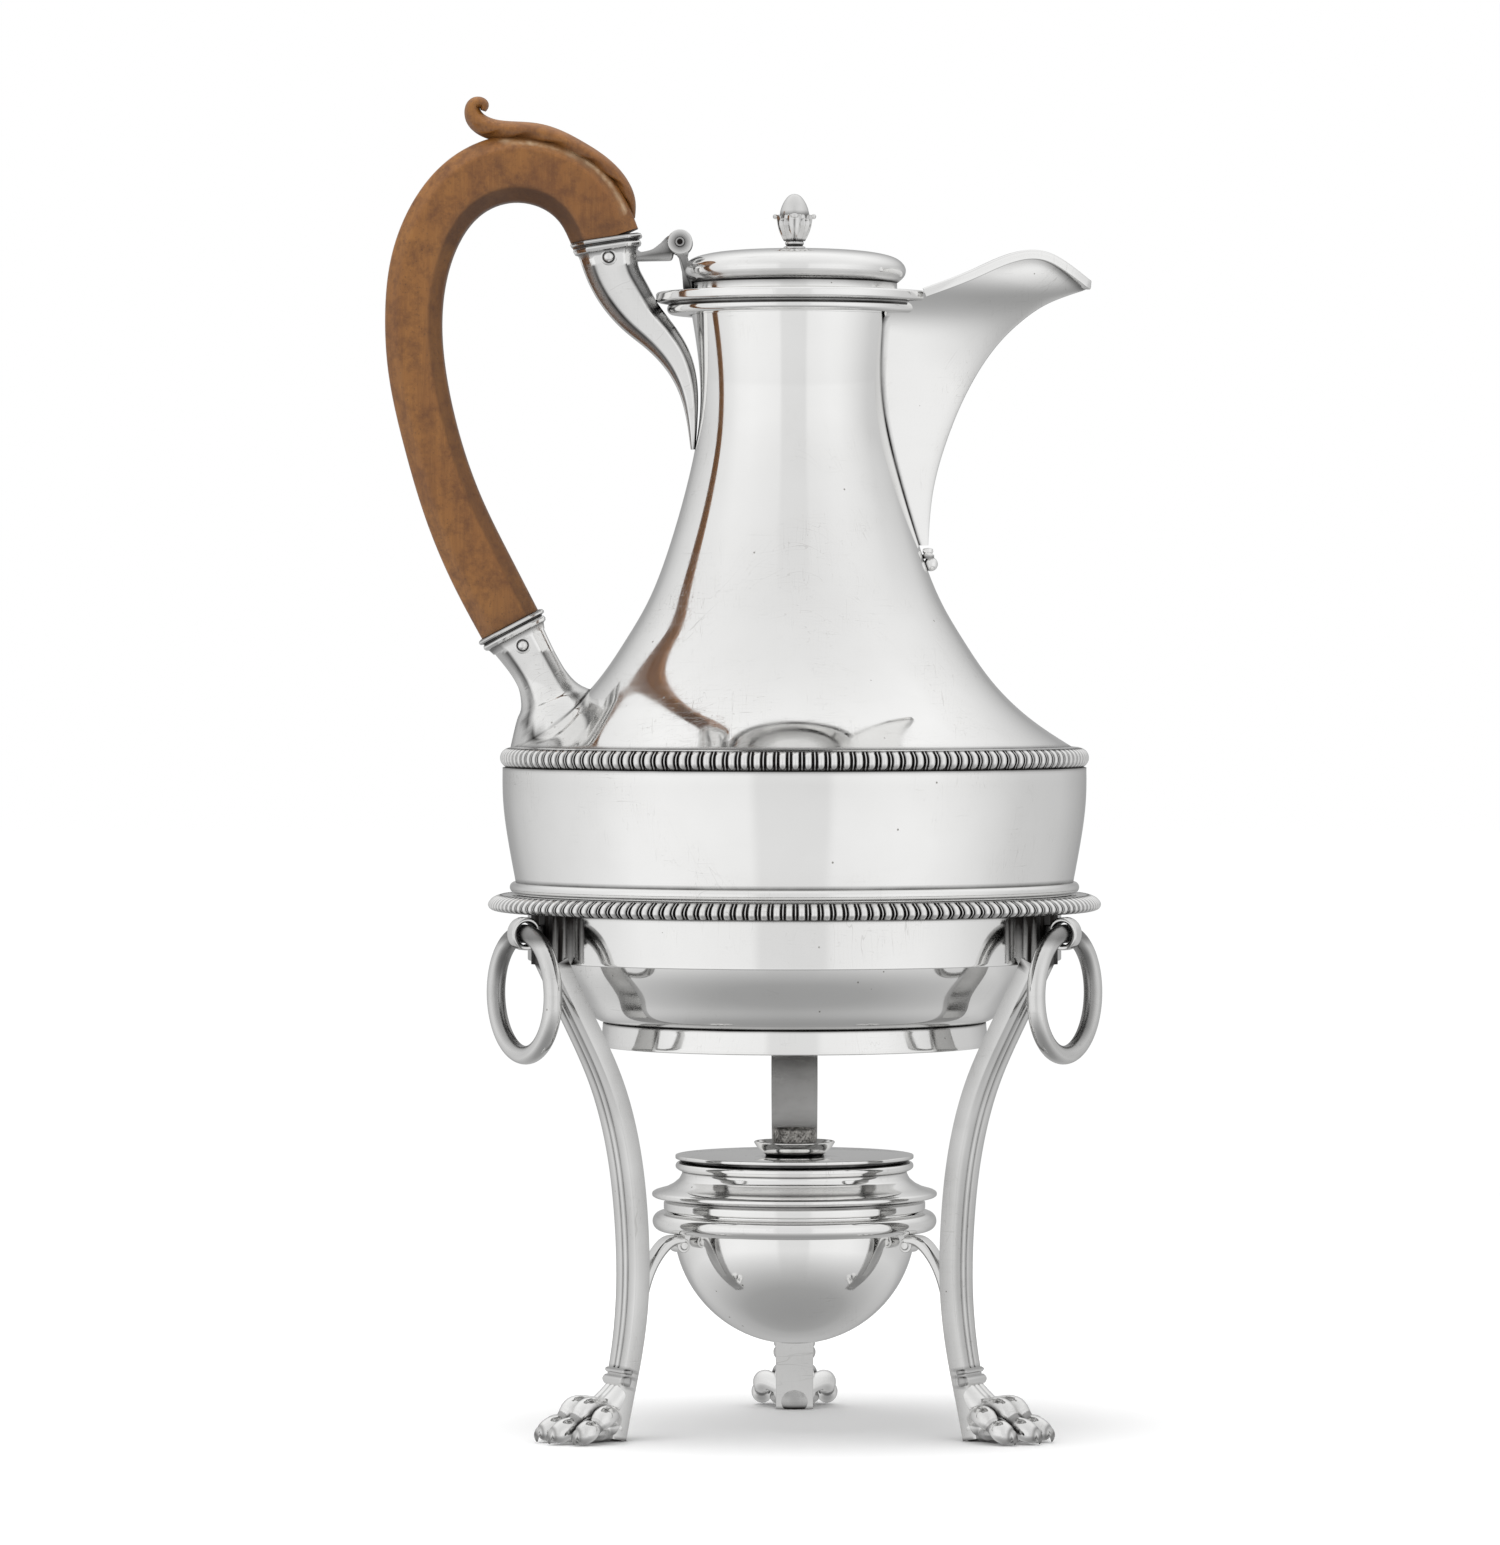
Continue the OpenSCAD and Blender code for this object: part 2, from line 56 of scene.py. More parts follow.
def spline(rows, n):
    """Smooth curve through the rows, n steps from row to row, every column interpolated."""
    p = np.array(rows, float)
    gaps = np.sqrt(((p[1:] - p[:-1])[:, :2] ** 2).sum(1))
    t = np.concatenate([[0], np.cumsum(np.maximum(gaps, 1e-6) ** 0.8)])
    h = np.diff(t)
    last = len(p) - 1
    a, b = np.eye(last + 1), np.zeros_like(p)
    for i in range(1, last):
        a[i, i - 1:i + 2] = h[i - 1], 2 * (h[i - 1] + h[i]), h[i]
        b[i] = 6 * ((p[i + 1] - p[i]) / h[i] - (p[i] - p[i - 1]) / h[i - 1])
    m = np.linalg.solve(a, b)
    out = []
    for i in range(last):
        for k in range(n):
            u, v = h[i] * (1 - k / n), h[i] * k / n
            out.append(m[i] * u ** 3 / (6 * h[i]) + m[i + 1] * v ** 3 / (6 * h[i])
                       + (p[i] / h[i] - m[i] * h[i] / 6) * u
                       + (p[i + 1] / h[i] - m[i + 1] * h[i] / 6) * v)
    return np.array(out + [p[-1]])


def arc(cx, cz, r, a, b, n):
    w = np.radians(np.linspace(a, b, n + 1))
    return np.stack([cx + r * np.cos(w), cz + r * np.sin(w)], 1)


def outline(*parts):
    return np.concatenate([np.array(p, float).reshape(-1, 2) for p in parts])


def unit(v):
    return v / np.maximum(np.linalg.norm(v, axis=-1, keepdims=True), 1e-12)


def inset(curve, d):
    """The upward curve moved by d towards the axis."""
    t = unit(np.gradient(curve[:, :2], axis=0))
    return curve[:, :2] + d * np.stack([-t[:, 1], t[:, 0]], 1)


def rounded(points, r, n=3, closed=True):
    """The outline with its corners rounded over a length r. Gentle bends are left alone."""
    p = np.array(points, float)
    out = []
    for i in range(len(p)):
        if not closed and i in (0, len(p) - 1):
            out.append(p[i])
            continue
        e0, e1 = p[i] - p[i - 1], p[(i + 1) % len(p)] - p[i]
        l0, l1 = np.linalg.norm(e0), np.linalg.norm(e1)
        if min(l0, l1) < 1e-6:
            continue
        if (e0 @ e1) / (l0 * l1) > 0.94:
            out.append(p[i])
            continue
        cut = min(r, 0.42 * l0, 0.42 * l1)
        start, end = p[i] - e0 / l0 * cut, p[i] + e1 / l1 * cut
        for s in np.linspace(0, 1, n + 1):
            out.append((1 - s) ** 2 * start + 2 * s * (1 - s) * p[i] + s * s * end)
    return np.array(out)


# ---------------------------------------------------------------- surfaces
# A shell is (points, wrap, caps): rings of points, whether the last ring joins the first,
# and whether the end rings are closed by a face.

def finer(section):
    """Closed outline with points added, so that none are more than 0.5 apart."""
    s = np.array(section, float)
    out = []
    for a, b in zip(s, np.roll(s, -1, 0)):
        n = max(1, math.ceil(np.linalg.norm(b - a) / 0.5))
        out += [a + (b - a) * k / n for k in range(n)]
    return np.array(out)


def at_angles(r, a, z):
    """Points at radius r, angle a and height z."""
    return np.stack([r * np.cos(a), r * np.sin(a), z + 0 * a], 2)


def revolve(section, segs, closed=True):
    s = np.array(section, float)
    return at_angles(s[:, :1], np.arange(segs) * 2 * math.pi / segs, s[:, 1:2]), closed, False


def turned(points, r):
    """Closed outline with rounded corners, turned about the axis."""
    return revolve(finer(rounded(points, r)), 300)


def sweep(path, sections):
    """Sections of (to the right of the path, across the plane) square to a path in XZ."""
    p = np.array(path, float)
    t = unit(np.gradient(p, axis=0))
    s = np.array(sections, float)
    x = p[:, :1] + s[:, :, 0] * t[:, 1:2]
    z = p[:, 1:2] - s[:, :, 0] * t[:, :1]
    return np.stack([x, s[:, :, 1], z], 2), False, True


def bar(w, d, c, edge=0.35):
    """Rectangle w by d with chamfered corners and softened edges."""
    return rounded([[w / 2, c - d / 2], [w / 2, d / 2 - c], [w / 2 - c, d / 2],
                    [c - w / 2, d / 2], [-w / 2, d / 2 - c], [-w / 2, c - d / 2],
                    [c - w / 2, -d / 2], [w / 2 - c, -d / 2]], edge)


def bar_sweep(rows, steps, chamfer, edge=0.35):
    """Chamfered bar along rows of [x, z, width, depth]."""
    p = spline(rows, steps)
    return sweep(p[:, :2], [dense(bar(w, d, chamfer * min(w, d), edge)) for w, d in p[:, 2:4]])


def dense(section):
    """Closed outline with two points added along every side."""
    s = np.array(section, float)
    k = np.arange(3)[None, :, None] / 3
    return (s[:, None] * (1 - k) + np.roll(s, -1, 0)[:, None] * k).reshape(-1, 2)


def beads(at, way, profile):
    """Straight run of chamfered sections from `at` along `way`; profile rows are [along, w, d]."""
    prof = np.array(profile)
    return sweep(np.array(at) + prof[:, :1] * unit(np.array(way)),
                 [bar(w, d, 0.24 * min(w, d), 0.5) for w, d in prof[:, 1:]])


def softened(low, high, edge):
    """Places from low to high, and how far the outline is drawn in there to round the edges."""
    return [(low, edge), (low + edge * 0.3, edge * 0.3), (low + edge, 0),
            (high - edge, 0), (high - edge * 0.3, edge * 0.3), (high, edge)]


def plate(points, half, mid=0.0, edge=0.25, corner=0.5):
    """Flat plate in the XZ plane with softened edges, from y = mid - half to mid + half."""
    p = rounded(points, corner)
    t = unit(np.roll(p, -1, 0) - np.roll(p, 1, 0))
    area = (p[:, 0] * np.roll(p[:, 1], -1) - np.roll(p[:, 0], -1) * p[:, 1]).sum()
    inward = np.stack([-t[:, 1], t[:, 0]], 1) * (1 if area > 0 else -1)
    rings = []
    for y, back in softened(-half, half, edge):
        q = p + inward * back
        rings.append(np.stack([q[:, 0], np.full(len(q), mid + y), q[:, 1]], 1))
    return np.array(rings), False, True


def about_y(section, at, segs=64, closed=True):
    """Section of (radius, y) turned about the line across the plane at (x, z)."""
    s = np.array(section, float)
    a = np.arange(segs) * 2 * math.pi / segs
    r, y = s[:, :1], s[:, 1:2]
    return np.stack([at[0] + r * np.cos(a), y + 0 * a, at[1] + r * np.sin(a)], 2), closed, False


def button(at, y, r, side):
    """Round pin head that stands out of a face at y."""
    s = [[0, y + side * r * 0.75], [r * 0.45, y + side * r * 0.68], [r * 0.8, y + side * r * 0.42],
         [r, y + side * 0.05], [r, y - side * 0.6], [0, y - side * 0.6]]
    return about_y(rounded(s, 0.3, closed=False), at, 40, False)


def block(low, high, edge):
    """Upright block with softened edges."""
    (x0, y0, z0), (x1, y1, z1) = low, high
    rings = []
    for z, back in softened(z0, z1, edge):
        q = rounded([[x0 + back, y0 + back], [x1 - back, y0 + back], [x1 - back, y1 - back],
                     [x0 + back, y1 - back]], edge)
        rings.append(np.concatenate([q, np.full((len(q), 1), z)], 1))
    return np.array(rings), False, True


def ball(centre, radii):
    a = np.arange(24) * 2 * math.pi / 24
    b = np.radians(np.linspace(-84, 84, 13))[:, None]
    flat = np.stack([np.cos(b) * np.cos(a), np.cos(b) * np.sin(a), np.sin(b) + 0 * a], 2)
    points = flat * radii + centre
    points[:, :, 2] = np.maximum(points[:, :, 2], 0.0)
    return points, False, True


# ---------------------------------------------------------------- pieces

def placed(v, turn):
    """Points in millimetres about the axis, turned about it by a number of degrees, in metres."""
    c, s = math.cos(math.radians(turn)), math.sin(math.radians(turn))
    v = np.stack([v[:, 0] * c - v[:, 1] * s, v[:, 0] * s + v[:, 1] * c, v[:, 2]], 1) * MM
    v[:, 0] += AXIS_X
    return v


def mesh_of(shells, turn=0.0):
    verts, faces, base = [], [], 0
    for points, wrap, caps in shells:
        m, n = points.shape[:2]
        i, j = np.meshgrid(np.arange(m if wrap else m - 1), np.arange(n), indexing="ij")
        after = (i + 1) % m
        quads = np.stack([i * n + j, i * n + (j + 1) % n, after * n + (j + 1) % n,
                          after * n + j], -1).reshape(-1, 4) + base
        faces += quads.tolist()
        if caps:
            faces += [list(range(base, base + n)), list(range(base + (m - 1) * n, base + m * n))]
        verts.append(points.reshape(-1, 3))
        base += m * n
    me = bpy.data.meshes.new("made")
    me.from_pydata(placed(np.concatenate(verts), turn).tolist(), [], faces)
    return me


def tidy(me):
    bm = bmesh.new()
    bm.from_mesh(me)
    bmesh.ops.remove_doubles(bm, verts=bm.verts, dist=1e-7)
    bmesh.ops.dissolve_degenerate(bm, dist=1e-8, edges=bm.edges)
    bmesh.ops.recalc_face_normals(bm, faces=bm.faces)
    bm.to_mesh(me)
    bm.free()


def points_of(me):
    co = np.zeros(len(me.vertices) * 3)
    me.vertices.foreach_get("co", co)
    return co.reshape(-1, 3)


def in_mm(me):
    return points_of(me) / MM - np.array([AXIS_X / MM, 0, 0])


def paint(me, name, values):
    attribute = me.attributes.new(name, "FLOAT", "POINT")
    attribute.data.foreach_set("value", np.clip(values, 0, 1).astype(np.float32))


def hollows(me, rounds, gain):
    """How deep each point lies below its smoothed surroundings, from 0 to 1."""
    co = points_of(me)
    e = np.zeros(len(me.edges) * 2, int)
    me.edges.foreach_get("vertices", e)
    e = e.reshape(-1, 2)
    count = np.maximum(np.bincount(e.ravel(), minlength=len(co)), 1)[:, None]

    def spread(v):
        total = np.zeros_like(v)
        for k in range(v.shape[1]):
            total[:, k] = (np.bincount(e[:, 0], v[e[:, 1], k], len(co))
                           + np.bincount(e[:, 1], v[e[:, 0], k], len(co)))
        return total / count

    smooth = co.copy()
    for _ in range(rounds):
        smooth = 0.5 * smooth + 0.5 * spread(smooth)
    normal = np.zeros(len(co) * 3)
    me.vertices.foreach_get("normal", normal)
    depth = ((smooth - co) * normal.reshape(-1, 3)).sum(1) / MM
    depth = np.clip(depth * gain, 0, 1)[:, None]
    return spread(depth)[:, 0]


def piece(name, shells, body, node, finish, turn=0.0, sharp=35, dirt_and_shade=None):
    """Object for one CAD node. Its last argument darkens the colour, as dirt and as painted shade: a
    function of the points in millimetres about the axis, or the rounds and gain of hollows()."""
    me = shells if isinstance(shells, bpy.types.Mesh) else mesh_of(shells, turn)
    me.name = name
    tidy(me)
    me.shade_smooth()
    me.set_sharp_from_angle(angle=math.radians(sharp))
    ob = bpy.data.objects.new(name, me)
    bpy.context.scene.collection.objects.link(ob)
    me.materials.append(finish[1])
    if dirt_and_shade is not None:
        paint(me, "dirt_and_shade", dirt_and_shade(in_mm(me)) if callable(dirt_and_shade) else hollows(me, *dirt_and_shade))
    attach(ob, body)
    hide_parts(node)
    return ob


# ---------------------------------------------------------------- where dirt and painted shade lie

def bell(value, at, width):
    """1 where the value is `at`, falling smoothly to 0 over about twice the width."""
    return np.exp(-((value - at) / width) ** 2)


def radius(p):
    return np.hypot(p[:, 0], p[:, 1])


def about(p, at):
    """Distance of points from the line across the plane at (x, z)."""
    return np.hypot(p[:, 0] - at[0], p[:, 2] - at[1])


def beside(p, path):
    """Distance of points from a path in the XZ plane."""
    return np.sqrt(((p[:, None, [0, 2]] - path[None]) ** 2).sum(2)).min(1)


def off_middle(p, middle):
    """Row of the middle line nearest to each point, and how far the point lies to its right."""
    near = ((p[:, None, [0, 2]] - middle[None, :, :2]) ** 2).sum(2).argmin(1)
    way = unit(np.gradient(middle[:, :2], axis=0))[near]
    return near, ((p[:, 0] - middle[near, 0]) * way[:, 1]
                  - (p[:, 2] - middle[near, 1]) * way[:, 0])


def in_leg(p, turn):
    """Distance of points out along the leg's own plane, and across it."""
    c, s = math.cos(math.radians(turn)), math.sin(math.radians(turn))
    return p[:, 0] * c + p[:, 1] * s, -p[:, 0] * s + p[:, 1] * c


def lines(*rows):
    """Dark lines of painted shade round a turned piece, at its creases and joints; rows are [height,
    width, strength].
    """
    return lambda p: sum(dark * bell(p[:, 2], z, width) for z, width, dark in rows)


def total(*parts):
    return lambda p: sum(f(p) for f in parts)


# ---------------------------------------------------------------- materials

class Nodes:
    """Shorthand for making and joining shader nodes."""

    def __init__(self, tree):
        self.tree = tree
        tree.nodes.clear()

    def add(self, kind, **values):
        node = self.tree.nodes.new("ShaderNode" + kind)
        for key, value in values.items():
            if hasattr(node, key) and key not in node.inputs:
                setattr(node, key, value)
        for key, value in values.items():
            if key in node.inputs:
                self.put(node.inputs[key], value)
        return node

    def put(self, socket, value):
        if isinstance(value, bpy.types.NodeSocket):
            self.tree.links.new(value, socket)
        else:
            socket.default_value = value

    def math(self, op, a, b=0.0, c=0.0, clamp=False):
        node = self.tree.nodes.new("ShaderNodeMath")
        node.operation, node.use_clamp = op, clamp
        for i, value in enumerate((a, b, c)):
            self.put(node.inputs[i], value)
        return node.outputs[0]

    def noise(self, where, scale, detail=2.0, rough=0.5, distort=0.0):
        return self.add("TexNoise", Vector=where, Scale=scale, Detail=detail, Roughness=rough,
                        Distortion=distort).outputs[0]

    def stretched(self, where, turn, scale):
        return self.add("Mapping", Vector=where, Rotation=turn, Scale=scale).outputs[0]

    def ramp(self, value, low, high, top=1.0):
        return self.add("MapRange", Value=value, **{"From Min": low, "From Max": high,
                                                    "To Max": top}).outputs[0]

    def greys(self, value, stops):
        """Brightness that follows a value through stops of (value, brightness)."""
        node = self.add("ValToRGB", Fac=value)
        elements = node.color_ramp.elements
        while len(elements) < len(stops):
            elements.new(0.5)
        for element, (at, light) in zip(elements, stops):
            element.position = at
            element.color = (light, light, light, 1)
        return node.outputs[0]

    def mix(self, share, a, b):
        node = self.tree.nodes.new("ShaderNodeMix")
        node.data_type = "RGBA"
        self.put(node.inputs["Factor"], share)
        self.put(node.inputs[6], a)
        self.put(node.inputs[7], b)
        return node.outputs[2]

    def bump(self, height, distance, below=None):
        node = self.add("Bump", Height=height, Distance=distance, Strength=1.0)
        if below is not None:
            self.put(node.inputs["Normal"], below)
        return node.outputs[0]


def new_material(name):
    m = bpy.data.materials.new(name)
    m.use_nodes = True
    n = Nodes(m.node_tree)
    where = n.add("TexCoord").outputs["Object"]
    surface = n.add("BsdfPrincipled")
    out = n.add("OutputMaterial")
    n.tree.links.new(surface.outputs[0], out.inputs[0])
    return m, n, where, surface


def silver(name, shine, wave, wear, tone=0.93, fade=0.93):
    """Polished silver. shine is its roughness, wave the depth in metres of its hand-raised
    unevenness, wear how much it is scratched and pitted, tone its brightness and fade the
    share of that left where it has dulled."""
    m, n, where, surface = new_material(name)
    streaks = []
    for turn, scale in (((0.3, 0.5, 0.2), (900, 38, 60)), ((0.9, 1.4, 2.1), (50, 1100, 44)),
                        ((2.2, 0.4, 1.2), (44, 60, 1000))):
        streak = n.noise(n.stretched(where, turn, scale), 1.0, 1.0)
        streaks.append(n.math("COMPARE", streak, 0.5, 0.0035))
    patches = n.noise(where, 34.0, 3.0, 0.6)
    scratch = n.math("MAXIMUM", streaks[0], n.math("MAXIMUM", streaks[1], streaks[2]))
    scratch = n.math("MULTIPLY", scratch, n.ramp(patches, 0.46, 0.72))
    cells = n.add("TexVoronoi", Vector=where, Scale=330.0)
    rare = n.math("GREATER_THAN", n.add("SeparateColor", Color=cells.outputs["Color"]).outputs[0],
                  0.93)
    pit = n.math("MULTIPLY", n.math("LESS_THAN", cells.outputs["Distance"], 0.085), rare)
    marks = n.math("MULTIPLY", n.math("MAXIMUM", n.math("MULTIPLY", scratch, 0.5), pit), wear)
    haze = n.noise(where, 90.0, 5.0, 0.6)
    smear = n.noise(n.stretched(where, (0.2, 0.1, 0.0), (60, 60, 700)), 1.0, 3.0)
    # The attribute read here holds painted shade in creases, joints and under parts along with
    # tarnished spots; it turns the colour nearly black.
    dark = n.math("MULTIPLY", n.add("Attribute", attribute_name="dirt_and_shade").outputs["Fac"],
                  n.math("ADD", 0.75, n.math("MULTIPLY", haze, 0.7)), clamp=True)
    clean = n.mix(n.ramp(patches, 0.35, 0.75, 0.6 * wear),
                  (tone, tone * 0.998, tone * 0.99, 1),
                  (tone * fade, tone * fade * 0.995, tone * fade * 0.98, 1))
    worn = n.mix(marks, clean, (0.42, 0.41, 0.39, 1))
    n.put(surface.inputs["Base Color"], n.mix(dark, worn, (0.022, 0.02, 0.019, 1)))
    n.put(surface.inputs["Metallic"], 1.0)
    rough = n.math("ADD", shine, n.ramp(haze, 0.35, 0.8, 0.07 * wear))
    rough = n.math("ADD", rough, n.ramp(smear, 0.45, 0.8, 0.05))
    rough = n.math("ADD", rough, n.math("MULTIPLY", n.math("ADD", marks, dark), 0.35), clamp=True)
    n.put(surface.inputs["Roughness"], rough)
    swell = n.bump(n.noise(where, 26.0, 1.0, 0.4), wave)
    n.put(surface.inputs["Normal"], n.bump(n.math("SUBTRACT", haze, marks), 0.000004, swell))
    return m


def fruitwood(name):
    m, n, where, surface = new_material(name)
    long_way = n.stretched(where, (0, 0, 0), (420, 520, 26))
    grain = n.noise(long_way, 1.0, 5.0, 0.65, 0.6)
    fine = n.noise(n.stretched(where, (0, 0.06, 0), (2600, 2600, 130)), 1.0, 3.0, 0.6)
    mottle = n.noise(where, 240.0, 6.0, 0.75)
    cloud = n.noise(where, 34.0, 3.0, 0.6)
    speck = n.add("TexVoronoi", Vector=where, Scale=900.0)
    pore = n.math("LESS_THAN", speck.outputs["Distance"], 0.16)
    warm = n.mix(n.ramp(cloud, 0.35, 0.7), (0.195, 0.072, 0.013, 1), (0.27, 0.112, 0.021, 1))
    warm = n.mix(n.ramp(grain, 0.45, 0.75, 0.55), warm, (0.105, 0.034, 0.0065, 1))
    warm = n.mix(n.ramp(fine, 0.5, 0.8, 0.35), warm, (0.31, 0.145, 0.035, 1))
    warm = n.mix(n.ramp(mottle, 0.45, 0.65, 0.7), warm, (0.1, 0.033, 0.0065, 1))
    warm = n.mix(n.math("MULTIPLY", pore, n.ramp(cloud, 0.4, 0.6, 0.4)), warm,
                 (0.04, 0.016, 0.006, 1))
    # The attribute read here holds painted shade on the inner chamfers and in the carving's hollows;
    # it darkens the wood.
    dark = n.add("Attribute", attribute_name="dirt_and_shade").outputs["Fac"]
    warm = n.mix(dark, warm, (0.05, 0.02, 0.008, 1))
    wax = n.math("MULTIPLY", n.add("Attribute", attribute_name="wax").outputs["Fac"],
                 n.ramp(mottle, 0.3, 0.6))
    n.put(surface.inputs["Base Color"], n.mix(wax, warm, (0.62, 0.47, 0.30, 1)))
    n.put(surface.inputs["Roughness"], n.math("ADD", 0.36, n.math("MULTIPLY", mottle, 0.25)))
    n.put(surface.inputs["Coat Weight"], 0.12)
    n.put(surface.inputs["Coat Roughness"], 0.28)
    height = n.math("SUBTRACT", n.math("ADD", n.math("MULTIPLY", fine, 0.5), grain), pore)
    n.put(surface.inputs["Normal"], n.bump(height, 0.00004))
    return m


def burner_metal(name):
    m, n, where, surface = new_material(name)
    grime = n.noise(where, 420.0, 5.0, 0.7)
    speck = n.noise(where, 1800.0, 3.0, 0.6)
    tint = n.mix(n.ramp(grime, 0.38, 0.62), (0.10, 0.095, 0.09, 1), (0.62, 0.60, 0.57, 1))
    n.put(surface.inputs["Base Color"],
          n.mix(n.ramp(speck, 0.5, 0.7), tint, (0.05, 0.045, 0.04, 1)))
    n.put(surface.inputs["Metallic"], 1.0)
    n.put(surface.inputs["Roughness"], n.math("ADD", 0.22, n.math("MULTIPLY", grime, 0.4)))
    n.put(surface.inputs["Normal"], n.bump(n.math("ADD", grime, speck), 0.00004))
    return m


def cotton(name):
    m, n, where, surface = new_material(name)
    twist = n.add("TexWave", Vector=n.stretched(where, (0, 0.5, 0), (1, 1, 1)), Scale=420.0,
                  Distortion=3.0, Detail=3.0).outputs["Fac"]
    fuzz = n.noise(where, 2400.0, 4.0, 0.7)
    n.put(surface.inputs["Base Color"],
          n.mix(n.ramp(fuzz, 0.3, 0.7), (0.60, 0.55, 0.46, 1), (0.86, 0.83, 0.75, 1)))
    n.put(surface.inputs["Roughness"], n.math("ADD", 0.85, n.math("MULTIPLY", twist, 0.1)))
    n.put(surface.inputs["Normal"], n.bump(n.math("ADD", twist, fuzz), 0.00025))
    return m


# A finish is a slot's name and the material that it starts with
BODY = "polished_silver", silver("body_silver", 0.035, 0.00008, 1.0)
TRIM = "polished_silver", silver("trim_silver", 0.05, 0.00003, 0.8)
# A darker copy of the trim silver: partly age and tarnished silver, partly a painted dark reflection
# of the shaded floor and the other legs.
OLD_AND_SHADED = "polished_silver", silver("stand_silver", 0.05, 0.00005, 0.9, 0.8, 0.72)
CAST = "cast_silver", silver("cast_silver", 0.10, 0.00002, 0.9, 0.88)
CAST_OLD = "cast_silver", silver("paw_silver", 0.08, 0.00003, 1.0, 0.93, 0.6)
CAST_BODY = "cast_silver", BODY[1]
CAST_TRIM = "cast_silver", TRIM[1]
CAST_LEAF = "cast_silver", OLD_AND_SHADED[1]
WOOD = "fruitwood", fruitwood("fruitwood")
DARK = "burner_metal", burner_metal("burner_metal")
COTTON = "wick_cotton", cotton("cotton")


# ---------------------------------------------------------------- pot

NECK = spline([[67.4, 163.6], [57, 170.5], [47.2, 180], [40.3, 190], [35.1, 199], [29.5, 213.7],
               [24.9, 230.5], [22.9, 242], [22.6, 251], [23.3, 259], [25, 269.9]], 10)


def over_neck(p):
    """Distance of points outwards from the neck and shoulder."""
    return radius(p) - np.interp(p[:, 2], NECK[:, 1], NECK[:, 0])


def seam(width):
    """Painted shade where a piece meets the neck."""
    return lambda p: 0.9 * bell(over_neck(p), 0, width)


def wall(curve):
    return outline(curve[:, :2], inset(curve, SHEET)[::-1])


piece("neck", [revolve(wall(NECK), 360)], "pot", "pot_neck", BODY, dirt_and_shade=lines((164.0, 0.5, 0.9)))

# Period of a gadroon, as shares of its width: a broad lobe, then a thin bead between two grooves
LOBE = np.array([0.0, 0.03, 0.08, 0.16, 0.25, 0.33, 0.41, 0.5, 0.58, 0.63, 0.67, 0.7, 0.74,
                 0.775, 0.8, 0.835, 0.87, 0.895, 0.93, 0.965])
LOBE_DEPTH = np.array([1.0, 0.8, 0.45, 0.18, 0.04, 0.0, 0.04, 0.18, 0.45, 0.8, 1.0, 1.0, 1.0,
                       0.55, 0.4, 0.34, 0.4, 0.55, 1.0, 1.0])
# LOBE_DARK is painted shade down the grooves, at the same shares
LOBE_DARK = np.array([1.0, 1.0, 0.45, 0.0, 0.0, 0.0, 0.0, 0.0, 0.45, 1.0, 1.0, 1.0, 1.0,
                      0.9, 0.3, 0.0, 0.3, 0.9, 1.0, 1.0])


def gadroon_border(before, face, after, depth, count):
    """Turned border whose face, a curve that runs upwards, is cut into lobes."""
    out = unit(np.gradient(face, axis=0))
    out = np.stack([out[:, 1], -out[:, 0]], 1)
    weight = np.clip(np.sin(np.linspace(0, math.pi, len(face))) * 2.6, 0, 1)
    ring = ((np.arange(count)[:, None] + LOBE) / count * 2 * math.pi).ravel()
    deep = np.tile(LOBE_DEPTH, count)
    section = outline(before, face, after)
    push = np.zeros((len(section), 2))
    push[len(before):len(before) + len(face)] = out * weight[:, None] * depth
    rr = section[:, :1] - push[:, :1] * deep
    zz = section[:, 1:] - push[:, 1:] * deep
    return at_angles(rr, ring, zz), True, False


def gadroon_dark(face, count):
    """Painted shade in the grooves, and along both edges of the face."""
    low, high = face[0, 1], face[-1, 1]

    def dark(p):
        turn = np.arctan2(p[:, 1], p[:, 0]) / (2 * math.pi) * count
        groove = np.interp(turn % 1.0, LOBE, LOBE_DARK, period=1.0)
        share = (p[:, 2] - low) / (high - low)
        on = np.clip(share * 8 + 0.3, 0, 1) * np.clip((1 - share) * 8 + 0.3, 0, 1)
        edges = bell(share, -0.02, 0.06) + bell(share, 1.0, 0.05)
        return (groove * on + 0.8 * edges) * (radius(p) > face[:, 0].min() - 0.4)
    return dark


SHOULDER_FACE = arc(68.2, 161.5, 2.4, -60, 80, 22)
shoulder = gadroon_border([[66.4, 159.2], [69.2, 159.2]], SHOULDER_FACE,
                          [[68.2, 164.0], [66.4, 164.2]], 0.75, 147)
piece("shoulder_gadroons", [shoulder], "pot", "shoulder_border", CAST, sharp=50,
      dirt_and_shade=gadroon_dark(SHOULDER_FACE, 147))

DRUM = spline([[66.9, 131.8], [68.7, 141.7], [69.7, 149], [70, 154], [70, 159.2]], 10)
piece("drum", [revolve(wall(DRUM), 360)], "pot", "pot_drum", BODY,
      dirt_and_shade=lines((131.9, 0.35, 0.8), (159.1, 0.3, 0.7)))

MOULDING = outline([[65.4, 128.9], [67.3, 128.9], [67.3, 129.5]],
                   arc(67, 130.5, 1.3, -70, 70, 12), [[66.9, 131.8], [65.4, 131.8]])
piece("drum_moulding", [turned(MOULDING, 0.2)], "pot", "base_moulding", CAST_TRIM,
      dirt_and_shade=lines((129.4, 0.22, 0.7)))

